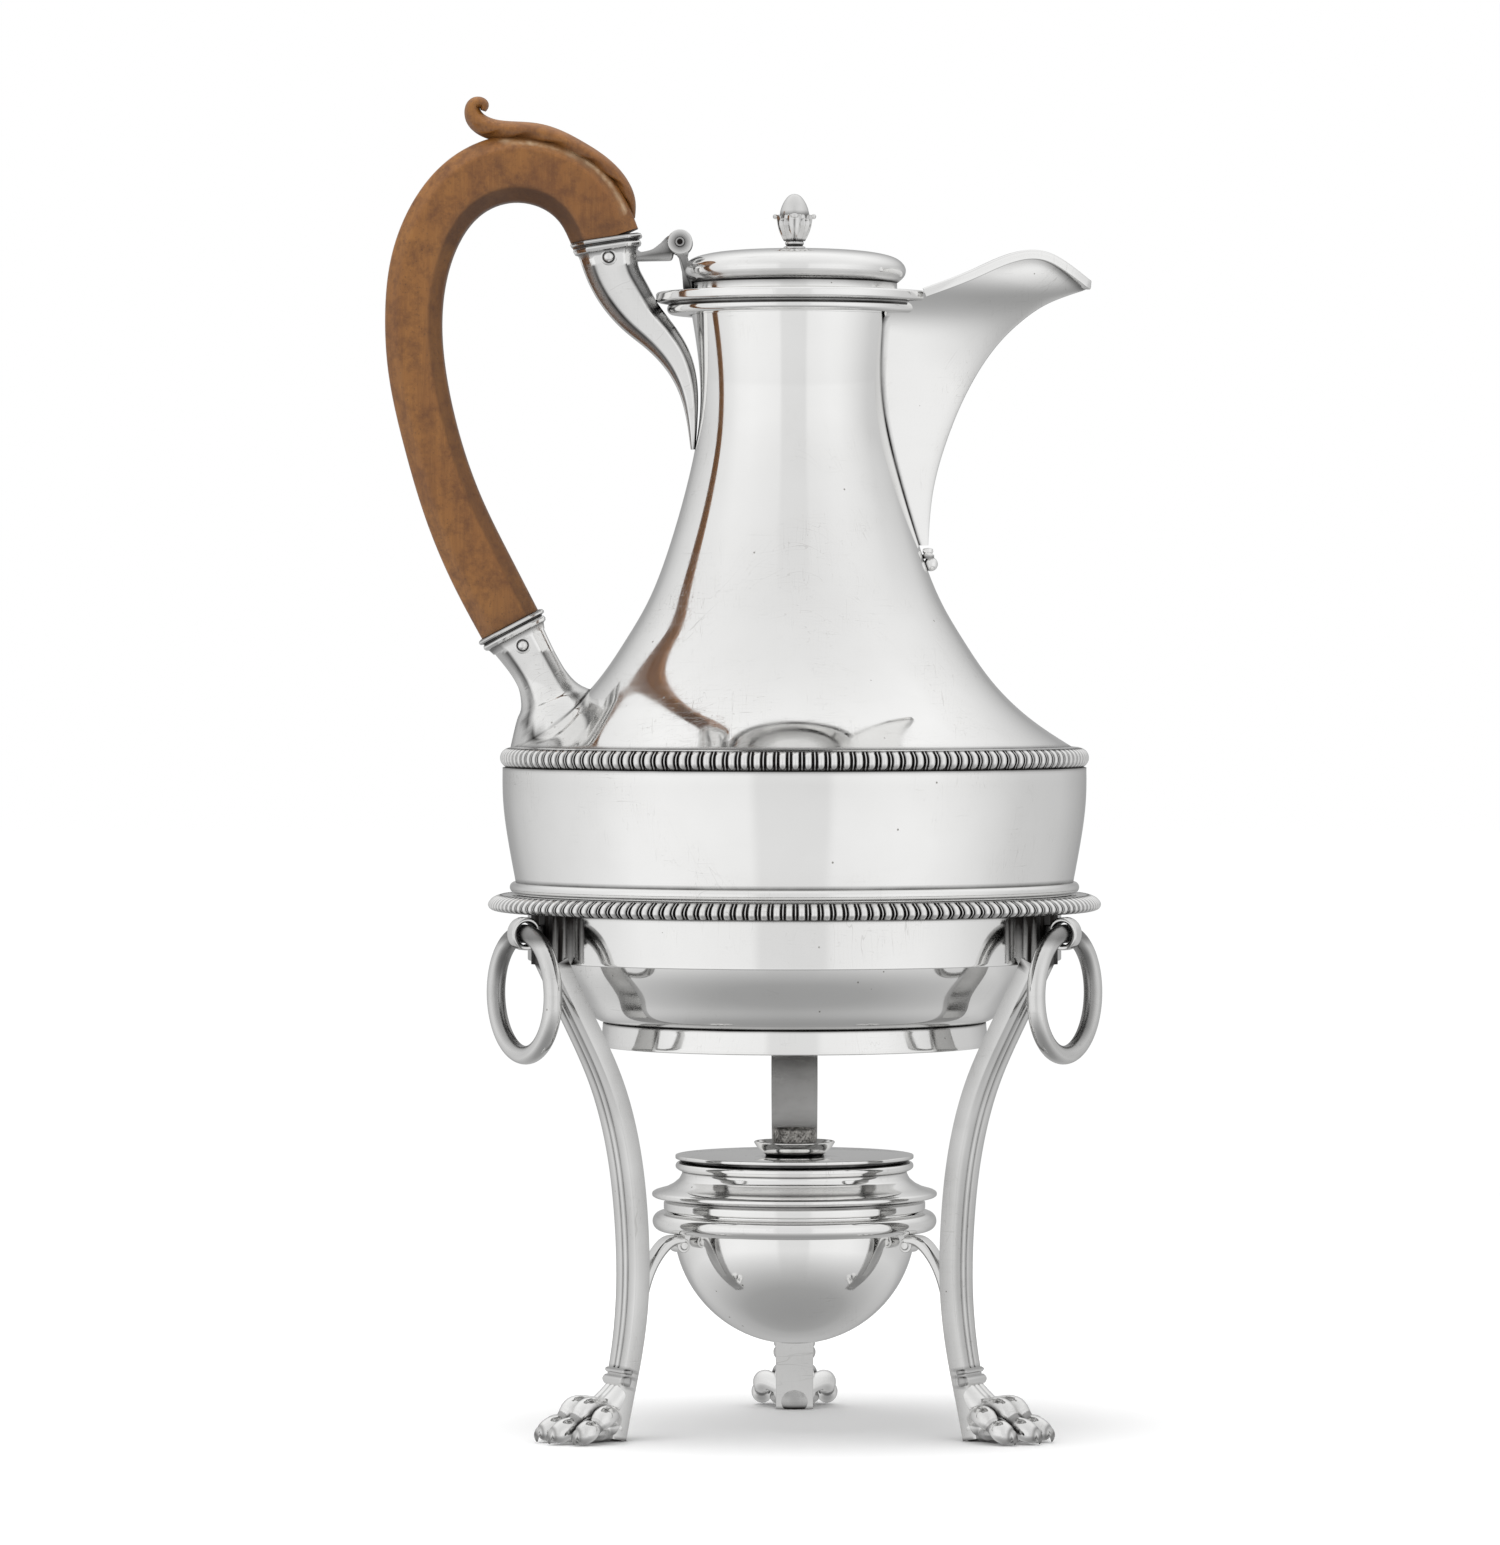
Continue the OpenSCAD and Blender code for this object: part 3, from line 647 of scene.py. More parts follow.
BOWL = spline([[44, 97.8], [48.2, 99.4], [50.6, 103.4], [54.5, 110], [57, 118], [58.2, 128.9]], 10)
bowl = revolve(outline([[0, 98.4], [20, 98.35], [38, 98.05]], BOWL, inset(BOWL, SHEET)[::-1],
                       [[0, 99.6]]), 300, False)
flange = revolve(rounded([[65.4, 128.9], [65.4, 130.1], [57.6, 130.1], [57.6, 128.9]], 0.2), 300)
piece("bottom", [bowl, flange], "pot", "pot_bottom", BODY, dirt_and_shade=lines((98.2, 0.5, 0.5)))

FOOT = [[45.0, 92.4], [46.4, 92.4], [46.4, 93.2], [46.05, 97.2], [46.0, 98.1], [44.6, 98.1]]
piece("foot", [turned(FOOT, 0.3)], "pot", "pot_foot", TRIM, dirt_and_shade=lines((98.1, 0.35, 0.8)))

COLLAR = outline([[22.2, 268.9], [24.4, 268.9], [24.6, 267.5]],
                 arc(29.2, 269.0, 1.35, -85, 55, 10),
                 [[30.2, 270.4], [32.7, 270.55], [33.2, 271.0], [33.2, 272.5], [32.8, 272.9],
                  [22.2, 272.9]])
# painted shade under the slab and where the collar meets the neck
piece("collar", [turned(COLLAR, 0.2)], "pot", "rim_collar", CAST_TRIM,
      dirt_and_shade=lambda p: 0.95 * bell(p[:, 2], 270.4, 0.45) * bell(radius(p), 30.9, 1.3)
      + 0.9 * bell(radius(p), 24.8, 0.5) * (p[:, 2] < 268.5))

# ---------------------------------------------------------------- spout

SPOUT = spline([[32.1, 212.4, 29.5, 0.9, 212.4], [33.2, 225, 25.7, 3.4, 225],
                [36.3, 236.8, 22.9, 6, 237], [41.6, 249.5, 20.4, 9, 250.5],
                [48.6, 260.3, 20.4, 11.3, 261], [54.6, 266.2, 21.7, 12.6, 267],
                [60, 269.9, 29.6, 13.3, 271.8], [64.4, 271.8, 42.8, 12.2, 276.9],
                [67.3, 272.8, 53.4, 9.6, 281.2], [69.1, 273.4, 61.5, 6.6, 280.6],
                [70, 273.8, 66.6, 3.9, 277.4], [70.6, 274.2, 70.0, 1.2, 274.9]], 8)


def beak_rows(q, deep):
    k = np.linspace(-1, 1, 65)
    s = np.abs(k)
    side, rise = np.sign(k) * s ** 0.85, s ** 1.25
    keel, edge = np.array([q[0], q[1]]), np.array([q[2], q[4]])
    up = unit(edge - keel) * deep
    keel, half = keel + up, max(q[3] - deep, 0.15)
    return np.stack([keel[0] + (edge[0] - keel[0]) * rise, side * half,
                     keel[1] + (edge[1] - keel[1]) * rise], 1)


beak = np.array([np.concatenate([beak_rows(q, 0), beak_rows(q, 1)[::-1]]) for q in SPOUT])
rim = np.array([[q[2], q[3], q[4]] for q in SPOUT if q[2] > 29.8])
rim = np.concatenate([rim * [1, -1, 1], rim[::-1]])


def under_lip(p):
    """Shade under the lip, growing towards the point of the spout."""
    gap = np.sqrt(((p[:, None] - rim[None]) ** 2).sum(2)).min(1)
    return 0.6 * bell(gap, 1.2, 1.3) * np.clip((p[:, 0] - 44) / 22, 0, 1)


# painted shade under the lip and along the spout's joint with the neck
piece("beak", [(beak, False, True)], "pot", "spout", BODY, sharp=60,
      dirt_and_shade=lambda p: under_lip(p)
      + 0.95 * bell(np.maximum(over_neck(p), 0), 0, 0.45) * (p[:, 2] < 268))

tangent = unit(np.gradient(rim, axis=0))
sideways = unit(np.cross(tangent, [0, 0, 1]))
upward = np.cross(sideways, tangent)
LIP = rounded([[1.0, -1.15], [1.15, 0.85], [0.7, 1.15], [-0.9, 1.15], [-1.0, 0.4], [-0.9, -1.15]],
              0.25)
lip = np.array([c + LIP[:, :1] * s + LIP[:, 1:] * u for c, s, u in zip(rim, sideways, upward)])
piece("lip", [(lip, False, True)], "pot", "spout_lip", CAST_TRIM, sharp=40)

BEAD = arc(0, 0, 1.7, -90, 90, 16)
bead = revolve(outline([[0, -1.7]], BEAD[1:-1], [[0, 1.7]]), 40, False)[0] + [32.7, 0, 207.9]
ferrule = revolve(rounded([[0, 0], [1.5, 0], [1.5, 0.9], [1.0, 1.2], [1.3, 1.6], [1.2, 2.4],
                           [0, 2.6]], 0.2, closed=False), 40, False)[0] + [32.0, 0, 209.2]
piece("bead", [(bead, False, False), (ferrule, False, False)], "pot", "spout_drop", CAST_TRIM,
      dirt_and_shade=total(lines((209.6, 0.35, 0.9)), seam(0.4)))

# ---------------------------------------------------------------- handle

GRIP = [[-68, 193, 15, 1], [-75.2, 206.8, 15.2, 1], [-81.6, 221, 14.3, 1],
        [-86.8, 237, 13.5, 1], [-90.45, 254, 13.6, 1], [-91.25, 267, 13.6, 1],
        [-89.4, 281, 14.1, 1], [-83.8, 293, 14.5, 1.03], [-76.8, 299.6, 15.3, 1.05],
        [-67.4, 302.6, 16.1, 1.08], [-57, 300.6, 16.4, 1.1], [-49.6, 294.6, 16.5, 1.1],
        [-45.1, 285.4, 16.3, 1.08]]
grip = bar_sweep([[x, z, w, d * 12.4] for x, z, w, d in GRIP], 12, 0.27, 0.9)


def leaf_rings():
    """The carved leaf: veins that slant back from a raised rib, a foot and a curled tip."""
    rows = spline([[-38.7, 290.8, 1.0, 2.6], [-39.4, 295.2, 2.5, 6.4], [-43.6, 301.6, 3.7, 9],
                   [-51.5, 307.0, 4.5, 11], [-61, 310.9, 4.9, 11.6], [-69.6, 311.8, 4.6, 10],
                   [-74.4, 313.0, 4.6, 8.6], [-77.0, 315.7, 4.2, 7.8], [-76.4, 318.2, 3.2, 7.2],
                   [-74.5, 317.9, 2.6, 6.6], [-74.6, 316.6, 1.4, 5.8]], 10)
    a = np.linspace(0, 2 * math.pi, 49)[:-1]
    run = np.linspace(0, 1, len(rows))
    sections = []
    for s, (_, _, w, d) in zip(run, rows):
        across, out = np.sin(a), -np.cos(a)
        x, y = w / 2 * out, d / 2 * across
        on_top = np.clip(-out * 1.5 + 0.4, 0, 1)
        window = np.clip((s - 0.04) * 10, 0, 1) * np.clip((0.7 - s) * 8, 0, 1)
        veins = np.sin(2 * math.pi * (11 * s + 1.1 * np.abs(across)))
        rib = bell(across, 0, 0.16)
        x = x - on_top * window * (0.42 * veins * (1 - rib) * np.abs(across) ** 0.5 + 0.4 * rib)
        sections.append(np.stack([x, y], 1))
    return sweep(rows[:, :2], sections)


def wood_dark(p):
    """Painted shade on the inner chamfers inside the bend and along the foot of the leaf,
    and darker towards the two ends of the grip.
    """
    foot = spline([[-42.0, 296.0], [-50.0, 303.4], [-60.0, 308.4], [-69.6, 309.6],
                   [-75.5, 306.6]], 12)
    ends = np.minimum(about(p, (-45.1, 285.4)), about(p, (-68, 193)))
    middle = spline(GRIP, 12)
    near, off = off_middle(p, middle)
    edge = middle[near, 2] / 2 - 0.27 * np.minimum(middle[near, 2], middle[near, 3] * 12.4)
    inside = np.interp(p[:, 2], [280, 292], [0.42, 0.75]) * np.clip((off - edge) / 0.6 - 0.1, 0, 1)
    return inside + 0.35 * bell(beside(p, foot), 0, 0.8) + 0.25 * bell(ends, 0, 6.0)


def wood_wax(p):
    """Pale old wax along the joint under the leaf."""
    joint = spline([[-40.6, 292.0], [-43.6, 298.0], [-50.2, 304.2], [-60.0, 308.0],
                    [-69.6, 308.9]], 12)
    return 0.75 * bell(beside(p, joint), 0, 0.45)


handle = piece("handle_wood", [grip, leaf_rings()], "pot", "handle", WOOD, sharp=50)
# painted shade in the carving's hollows, with the darkening of wood_dark
paint(handle.data, "dirt_and_shade", hollows(handle.data, 8, 3.5) + wood_dark(in_mm(handle.data)))
paint(handle.data, "wax", wood_wax(in_mm(handle.data)))

ENDS = [[0.0, 15.6, 13.4], [0.25, 16.9, 14.6], [0.7, 17.3, 15.0], [1.1, 16.9, 14.6],
        [1.3, 15.6, 13.4], [1.55, 15.4, 13.2], [1.75, 16.0, 13.8], [2.3, 16.4, 14.2],
        [2.9, 15.9, 13.7], [3.2, 14.6, 12.5], [3.7, 14.2, 12.1], [4.6, 13.6, 11.7]]
UPPER = [[-44.6, 282.4, 14.2, 12], [-43.4, 277.4, 12.7, 11.2], [-40.5, 272.1, 12, 10.6],
         [-37.1, 267.5, 10.6, 9.8], [-33, 263.2, 9, 8.4], [-28.6, 257.6, 7.4, 7],
         [-25.7, 250.5, 5, 5.4], [-24.6, 243, 2.8, 3.8], [-24.3, 235.4, 1.2, 2]]
UPPER_END = (-45.2, 286.0), (0.15, -0.99)
upper = [beads(*UPPER_END, ENDS), bar_sweep(UPPER, 10, 0.26, 0.6)]


def bead_dark(at, way):
    """Dark lines of painted shade round an end moulding that runs from `at` along `way`, in its
    groove and at its edges.
    """
    way = unit(np.array(way))

    def dark(p):
        x, z = p[:, 0] - at[0], p[:, 2] - at[1]
        along = x * way[0] + z * way[1]
        near = np.abs(x * way[1] - z * way[0]) < 11
        return sum(0.95 * bell(along, mark, 0.3) for mark in (0.05, 1.45, 3.4)) * near
    return dark


def edge_dark(rows, top):
    """Painted dark reflections along the long edges of a bar swept along rows of [x, z, width], and
    painted shade on its chamfers, below z = top.
    """
    middle = spline(rows, 10)

    def dark(p):
        near, off = off_middle(p, middle)
        q = np.abs(off) / middle[near, 2]
        return (0.8 * bell(q, 0.3, 0.05) + 0.25 * (q > 0.34)) * (p[:, 2] < top)
    return dark


piece("upper_fitting", upper, "pot", "upper_socket", TRIM, sharp=38,
      dirt_and_shade=total(bead_dark(*UPPER_END), seam(0.5), edge_dark(UPPER, 279.5)))

LOWER = [[-66.5, 190.3, 13.4, 11.8], [-63.6, 185.6, 12, 10.8], [-61.0, 181.0, 11.8, 11.2],
         [-59.4, 177.6, 13.6, 13.2], [-58.2, 174.9, 17.6, 17.4], [-57.5, 173.2, 23.4, 23.0]]
LOWER_END = (-68.2, 193.4), (0.465, -0.885)
flare = spline(LOWER, 12)
sections = []
for s, (_, _, w, d) in zip(np.linspace(0, 1, len(flare)), flare):
    octagon = dense(bar(w, d, 0.26 * min(w, d), 0.6))
    angle = np.arctan2(octagon[:, 1] / d, octagon[:, 0] / w)
    oval = np.stack([w / 2 * np.cos(angle), d / 2 * np.sin(angle)], 1)
    share = np.clip((s - 0.35) / 0.4, 0, 1)
    sections.append(octagon * (1 - share) + oval * share)
shaft = sweep(flare[:, :2], sections)
skirt = shaft[0][-14:].reshape(-1, 3)
pull = np.linspace(0, 1, 14).repeat(shaft[0].shape[1]) ** 2
level = np.interp(np.hypot(skirt[:, 0], skirt[:, 1]), NECK[::-1, 0], NECK[::-1, 1])
skirt[:, 2] += (level - 0.25 - skirt[:, 2]) * pull
piece("lower_fitting", [beads(*LOWER_END, ENDS), shaft], "pot", "lower_socket", TRIM, sharp=38,
      dirt_and_shade=total(bead_dark(*LOWER_END), seam(0.35), edge_dark(LOWER, 187.0)))

for name, at, half in (("upper", (-44.4, 281.2), 5.9), ("lower", (-65.0, 188.4), 5.8)):
    heads = []
    for side in (-1, 1):
        heads.append(button(at, side * half, 1.35, side))
        heads.append(about_y(rounded([[1.1, side * (half - 0.6)], [2.1, side * (half - 0.6)],
                                      [2.0, side * (half + 0.1)], [1.5, side * (half + 0.3)],
                                      [1.1, side * half]], 0.15), at, 40))
    piece(name + "_rivet", heads, "pot", name + "_pin", CAST,
          dirt_and_shade=lambda p, at=at: 0.9 * bell(about(p, at), 1.35, 0.22))

# ---------------------------------------------------------------- hinge and lid

HINGE = (-27.4, 284.9)
strap = [plate([[-41, 280.4], [-29.3, 280.6], [-28.9, 282.4], [-27.6, 284.9], [-29.0, 287.1],
                [-30.6, 286.3], [-32.0, 284.8], [-34.0, 283.2], [-37.0, 282.5], [-38.4, 284.3],
                [-41, 283.6]], 2.15, edge=0.5, corner=0.8),
         about_y(rounded([[1.1, -2.2], [3.0, -2.2], [3.0, 2.2], [1.1, 2.2]], 0.3), HINGE)]
# painted shade over the whole strap, darker along its crease and round the knuckle
piece("hinge_strap", strap, "pot", "hinge_bracket", OLD_AND_SHADED,
      dirt_and_shade=lambda p: 0.4 + 0.9 * bell(p[:, 0], -39.3, 0.6)
      + 0.5 * bell(about(p, HINGE), 3.0, 0.5))

pin_ends = []
for side in (-1, 1):
    pin_ends.append(about_y(rounded([[0, side * 5.2], [0.5, side * 5.1], [0.75, side * 5.3],
                                     [1.1, side * 5.2], [1.1, side * 2.0], [0, side * 2.0]],
                                    0.12, closed=False), HINGE, 40, False))
piece("hinge_rod", pin_ends, "pot", "hinge_pin", CAST,
      dirt_and_shade=lambda p: 0.5 + 0.45 * (about(p, HINGE) < 0.7))

knuckles = []
for side in (-1, 1):
    y = 3.5 * side
    knuckles.append(about_y(rounded([[1.16, y - 1.1], [2.8, y - 1.1], [3.0, y - 0.8],
                                     [3.0, y + 0.8], [2.8, y + 1.1], [1.8, y + 1.1],
                                     [1.6, y + 0.8], [1.16, y + 0.8]], 0.15), HINGE, 64))
    knuckles.append(plate([[-27.8, 281.3], [-25.7, 281.3], [-25.2, 283.6], [-29.2, 283.6]],
                          1.05, y))
knuckles.append(plate([[-26.6, 273.3], [-24.4, 273.3], [-24.4, 276.0], [-25.6, 281.6],
                       [-27.8, 281.6], [-26.9, 277.6]], 4.6, edge=0.4))
# painted shade on the strap below the knuckles, along its foot and round the pin
piece("lid_strap", knuckles, "lid", "lid_arm", OLD_AND_SHADED,
      dirt_and_shade=lambda p: 0.55 * (p[:, 2] < 282) + 0.4 * bell(p[:, 2], 273.6, 0.4)
      + 0.9 * bell(about(p, HINGE), 1.5, 0.3))

DOME = spline([[0, 283.4], [4.5, 283.35], [9, 283.2], [17, 282.7], [22, 281.9], [25.2, 280.6],
               [26.65, 278.6], [26.35, 276.9], [25.2, 275.7], [24.7, 275.3]], 8)
lid_outline = outline([[0, 282.2], [12, 281.8], [21, 280.6], [23.4, 279.2], [23.4, 273.1]],
                      rounded([[24.2, 273.1], [24.6, 273.4], [24.6, 275.0], [24.5, 275.2]],
                              0.25, closed=False), DOME[::-1][:, :2])
# painted shade where the dome meets the bezel and round the finial, and a painted dark reflection of
# the collar on the dome's lower flank
piece("lid_dome", [revolve(lid_outline, 300, False)], "lid", "lid_cover", BODY,
      dirt_and_shade=lambda p: 0.95 * bell(p[:, 2], 275.25, 0.4)
      + 0.3 * bell(p[:, 2], 276.6, 0.7) * (radius(p) > 24)
      + 0.9 * bell(radius(p), 2.8, 0.45) * (p[:, 2] > 283))
BEZEL = [[19.8, 269.6], [21, 269.6], [21, 274.2], [23.4, 274.2], [23.4, 275.2], [19.8, 275.2]]
piece("lid_ring", [revolve(rounded(BEZEL, 0.2), 240)], "lid", "lid_bezel", TRIM)

stem = revolve(rounded([[0, 283.3], [2.7, 283.3], [2.6, 283.9], [1.9, 284.2], [2.3, 284.6],
                        [2.2, 285.1], [1.9, 285.4], [2.2, 286.4], [3.0, 289], [0, 290]], 0.2,
                       closed=False), 64, False)


def calyx_leaf(turn, height, wide, curl):
    """Leaf that hugs the bud and turns its tip out, with a groove down its middle."""
    v = np.linspace(-1, 1, 15)
    grow = spline([[0, 0, 2.3, 0.36], [0.2, 0.27, 3.2, 0.5], [0.45, 0.57, 3.85, 0.58],
                   [0.7, 0.86, 4.15, 0.55], [0.87, 1.0, curl - 0.45, 0.42],
                   [1.0, 0.93, curl, 0.18]], 6)
    u = grow[:, 0]
    z = 285.3 + height * grow[:, 1]
    r = grow[:, 2]
    half = wide * grow[:, 3]
    angle = math.radians(turn) + half[:, None] * v
    ridge = 0.32 * np.cos(v * 3 * math.pi) * (1 - v ** 2)
    front = r[:, None] - 0.25 * v ** 2 * (0.4 + u[:, None]) - ridge
    outer, inner = [at_angles(q, angle, z[:, None]) for q in (front, front - 0.75)]
    return np.concatenate([outer, inner[:, ::-1]], 1), False, True


def calyx_dark(p):
    """Painted shade in the veins of the leaves, and round the foot of the finial."""
    z = p[:, 2]
    full = np.interp(z, [285.3, 287.0, 289.0, 290.6], [2.3, 3.2, 3.95, 4.25])
    veins = np.clip((full - radius(p) - 0.15) / 0.4, 0, 1) * (z > 285.5) * (z < 290.6)
    return veins + 0.9 * bell(z, 284.3, 0.3) + 0.9 * bell(z, 285.4, 0.25)


leaves = [calyx_leaf(k * 90 - 90, 6.2, 1.35, 4.9) for k in range(4)]
leaves += [calyx_leaf(k * 90 - 45, 5.3, 1.1, 4.4) for k in range(4)]
for x, y in ((1, 0), (0, 1), (-1, 0), (0, -1)):
    wide = (0.6 + 0.35 * abs(y), 0.6 + 0.35 * abs(x), 0.6)
    leaves.append(ball((4.6 * x, 4.6 * y, 291.15), wide))
piece("calyx", [stem] + leaves, "lid", "finial_calyx", CAST_LEAF, sharp=50, dirt_and_shade=calyx_dark)
BUD = spline([[0, 287], [2.5, 288], [3.45, 290.2], [3.55, 291.4], [3.15, 293.3], [2.2, 295.2],
              [1.0, 296.35], [0, 296.6]], 8)
# painted shade on the bud, darker towards its foot among the leaves
piece("bud", [revolve(BUD, 96, False)], "lid", "finial_bud", OLD_AND_SHADED,
      dirt_and_shade=lambda p: 0.7 * np.clip((292.6 - p[:, 2]) / 1.2, 0, 1))
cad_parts["finial_nut"].data.materials.clear()
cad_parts["finial_nut"].data.materials.append(TRIM[1])

# ---------------------------------------------------------------- stand

STAND_FACE = spline([[71.9, 124.95], [73.0, 125.35], [73.55, 126.3], [73.15, 127.3],
                     [72.1, 128.2], [70.5, 128.75]], 5) - [0.03, 0]
border = gadroon_border([[62.8, 124.9], [71.4, 124.9]], STAND_FACE,
                        [[70.0, 128.5], [69.6, 128.75], [62.8, 128.75]], 0.72, 157)
piece("stand_gadroons", [border], "stand", "stand_border", CAST, sharp=50,
      dirt_and_shade=gadroon_dark(STAND_FACE, 157))
BAND = [[64, 113.1], [64, 124.9], [62.8, 124.9], [62.8, 113.1]]
piece("band", [turned(BAND, 0.3)], "stand", "stand_band", TRIM,
      dirt_and_shade=lines((124.8, 0.45, 0.95)))
piece("lamp_carrier", [revolve(arc(31.8, 50.3, 2.3, 0, 360, 40)[:-1], 240)], "stand",
      "lamp_ring", TRIM)

LEG = spline([[66.6, 114, 1, 11.2], [58.6, 98.9, 1, 11.3], [51.8, 85, 1, 11.4],
              [47.1, 68.6, 1, 11.2], [45.1, 53, 1, 10.9], [44.7, 35, 1, 10.5], [46.4, 20, 1, 9.6],
              [48.4, 10.4, 1, 9.2], [50.5, 0.5, 1, 9.2]], 12)
THICK = 3.8
REEDS = np.array([[-1, -0.5], [-0.97, 0.2], [-0.9, 0.42], [-0.78, 0.5], [-0.5, 0.52],
                  [-0.34, 0.5], [-0.27, 0.44], [-0.22, 0.30], [-0.17, 0.42], [-0.1, 0.52],
                  [0, 0.555], [0.1, 0.52], [0.17, 0.42], [0.22, 0.30], [0.27, 0.44],
                  [0.34, 0.5], [0.5, 0.52], [0.78, 0.5], [0.9, 0.42], [0.97, 0.2], [1, -0.5]])


def leg_section(w, reeded):
    """Flat inside, reeded or flat outside: (out of the leg, across it)."""
    out = REEDS[:, 1] * THICK
    if not reeded:
        out = np.where(np.abs(REEDS[:, 0]) < 0.6, 0.5 * THICK, out)
    out = np.stack([out, REEDS[:, 0] * w / 2], 1)
    return np.concatenate([out, [[-0.5 * THICK, 0.97 * w / 2], [-0.5 * THICK, -0.97 * w / 2]]])


def leg_shells():
    # the path runs downwards, so the outside of the leg is on its left
    shaft = sweep(LEG[:, :2], [leg_section(w, z > 17) * [-1, 1] for _, z, _, w in LEG])
    bands = []
    for low, high, grow in ((15.6, 16.8, 1.1), (12.9, 15.1, 1.5)):
        mids = np.linspace(high, low, 9)
        swell = np.sin(np.linspace(0.25, math.pi - 0.25, 9))
        path = np.stack([np.interp(mids, LEG[::-1, 1], LEG[::-1, 0]), mids], 1)
        wide = [THICK / 2 + 0.5 + grow * k / 2 for k in swell]
        bands.append(sweep(path, [bar(w, 9.5 + grow * 0.6 * k, 0.7, 0.4) + [0.5 - w / 2, 0]
                                  for w, k in zip(wide, swell)]))
    return [shaft] + bands


def head_block():
    """Block against the band, with a groove down its side faces and two up its outer face."""
    v = np.linspace(-1, 1, 41)
    flute = 0.5 * bell(np.abs(v), 0.45, 0.1)
    face = np.stack([68.7 - flute, 5.4 * v], 1)
    side = np.array([[68.4, 5.4], [67.9, 5.15], [67.3, 4.95], [66.9, 4.95], [66.6, 5.3],
                     [65.7, 5.3], [65.4, 4.8], [65.0, 4.8], [64.7, 5.2], [63.3, 5.2]])
    plan = np.concatenate([face, side, side[::-1] * [1, -1]])
    rings = [np.concatenate([plan, np.full((len(plan), 1), z)], 1)
             for z in (113.1, 113.5, 124.5, 124.95)]
    return np.array(rings), False, True


def leg_dark(turn):
    """Painted shade in the reeds, on the side faces, round the ankle, over the head block and at the
    floor;
    the block's outer face is painted as lying in shadow behind the loop.
    """
    def dark(p):
        z = p[:, 2]
        x, y = in_leg(p, turn)
        shaft, head = z < 113, z > 113.05
        q = np.abs(y) / np.interp(z, LEG[::-1, 1], LEG[::-1, 3] / 2)
        outer = x > np.interp(z, LEG[::-1, 1], LEG[::-1, 0]) + 0.6
        groove = 0.95 * bell(q, 0.22, 0.06) * outer * (z > 17) * shaft
        sides = 0.36 * np.clip((q - 0.95) * 20, 0, 1) * shaft
        ankle = sum(0.7 * bell(z, at, 0.25) for at in (17.0, 15.35, 12.8)) * outer * 0.7
        front = head * (x > 68.0) * (0.9 - 0.5 * bell(np.abs(y), 5.35, 0.25))
        flanks = head * (x < 68.05) * (0.25 + 0.95 * bell(x, 66.8, 0.4) + 0.9 * bell(x, 64.1, 0.5))
        top = 0.6 * head * np.clip((z - 121.5) / 2.5, 0, 1)
        return groove + sides + ankle + front + flanks + top + 0.5 * (z < 0.8)
    return dark


def toe(rows, side=1):
    """Balls along a smooth path; rows are [x, y, z, radius]. Result rows are [x, z, y, radius]."""
    return spline([[x, z, y * side, r] for x, y, z, r in rows], 5)


TOES = []
for side in (-1, 1):
    TOES += [toe([[51.8, 1.4, 8.0, 2.3], [55.4, 2.6, 8.4, 2.3], [58.8, 3.0, 7.8, 2.65],
                  [62.0, 3.1, 4.9, 1.8], [64.2, 3.1, 3.6, 2.6], [65.8, 3.1, 2.8, 2.4]], side),
             toe([[51.6, 3.4, 5.6, 2.3], [54.0, 6.2, 6.6, 2.3], [56.6, 7.7, 6.2, 2.6],
                  [59.2, 8.1, 4.0, 1.8], [60.8, 8.1, 3.4, 2.6], [61.8, 8.0, 2.7, 2.4]], side)]


def paw_mesh():
    """Lion's paw: pad, heel, ankle and four arched toes, remeshed into one skin."""
    parts = [ball((52.4, 0, 4.6), (4.2, 5.4, 4.8)), ball((56.2, 0, 2.4), (5.0, 6.2, 2.5)),
             ball((49.8, 0, 3.0), (2.4, 4.6, 4.4))]
    ankle = [toe([[48.8, y, 11.4, 2.3], [50.2, y, 9.8, 2.5], [52.4, y, 7.6, 2.8],
                  [55.2, y, 5.2, 3.0]]) for y in (-2.2, 0, 2.2)]
    parts += [ball((x, y, z), (r, r, r)) for path in TOES + ankle for x, z, y, r in path]
    me = mesh_of(parts)
    co = (points_of(me) - np.array([AXIS_X, 0, 0])) / MM
    me.vertices.foreach_set("co", co.ravel())
    ob = bpy.data.objects.new("paw_making", me)
    bpy.context.scene.collection.objects.link(ob)
    remesh = ob.modifiers.new("skin", "REMESH")
    remesh.mode, remesh.voxel_size = "VOXEL", 0.25
    soften = ob.modifiers.new("soften", "SMOOTH")
    soften.factor, soften.iterations = 0.5, 3
    dg = bpy.context.evaluated_depsgraph_get()
    dg.update()
    made = bpy.data.meshes.new_from_object(ob.evaluated_get(dg))
    bpy.data.objects.remove(ob)
    co = points_of(made)
    co[:, 2] = np.maximum(co[:, 2], 0.02)
    made.vertices.foreach_set("co", co.ravel())
    return made


PAW = paw_mesh()
CLAWS = ((-8.0, 61.8), (-3.1, 65.8), (3.1, 65.8), (8.0, 61.8))


def claws():
    """A hooked claw at the front of each toe; CLAWS rows are (across, where the toe ends)."""
    out = []
    for y, tip in CLAWS:
        path = spline([[tip + 1.0, 3.6, 1.7], [tip + 2.1, 2.9, 1.7], [tip + 2.7, 1.7, 1.3],
                       [tip + 2.6, 0.4, 0.4]], 6)
        a = np.linspace(0, 2 * math.pi, 17)[:-1]
        sec = [np.stack([0.5 * w * np.cos(a), 0.5 * w * np.sin(a) + y], 1) for w in path[:, 2]]
        out.append(sweep(path[:, :2], sec))
    return out


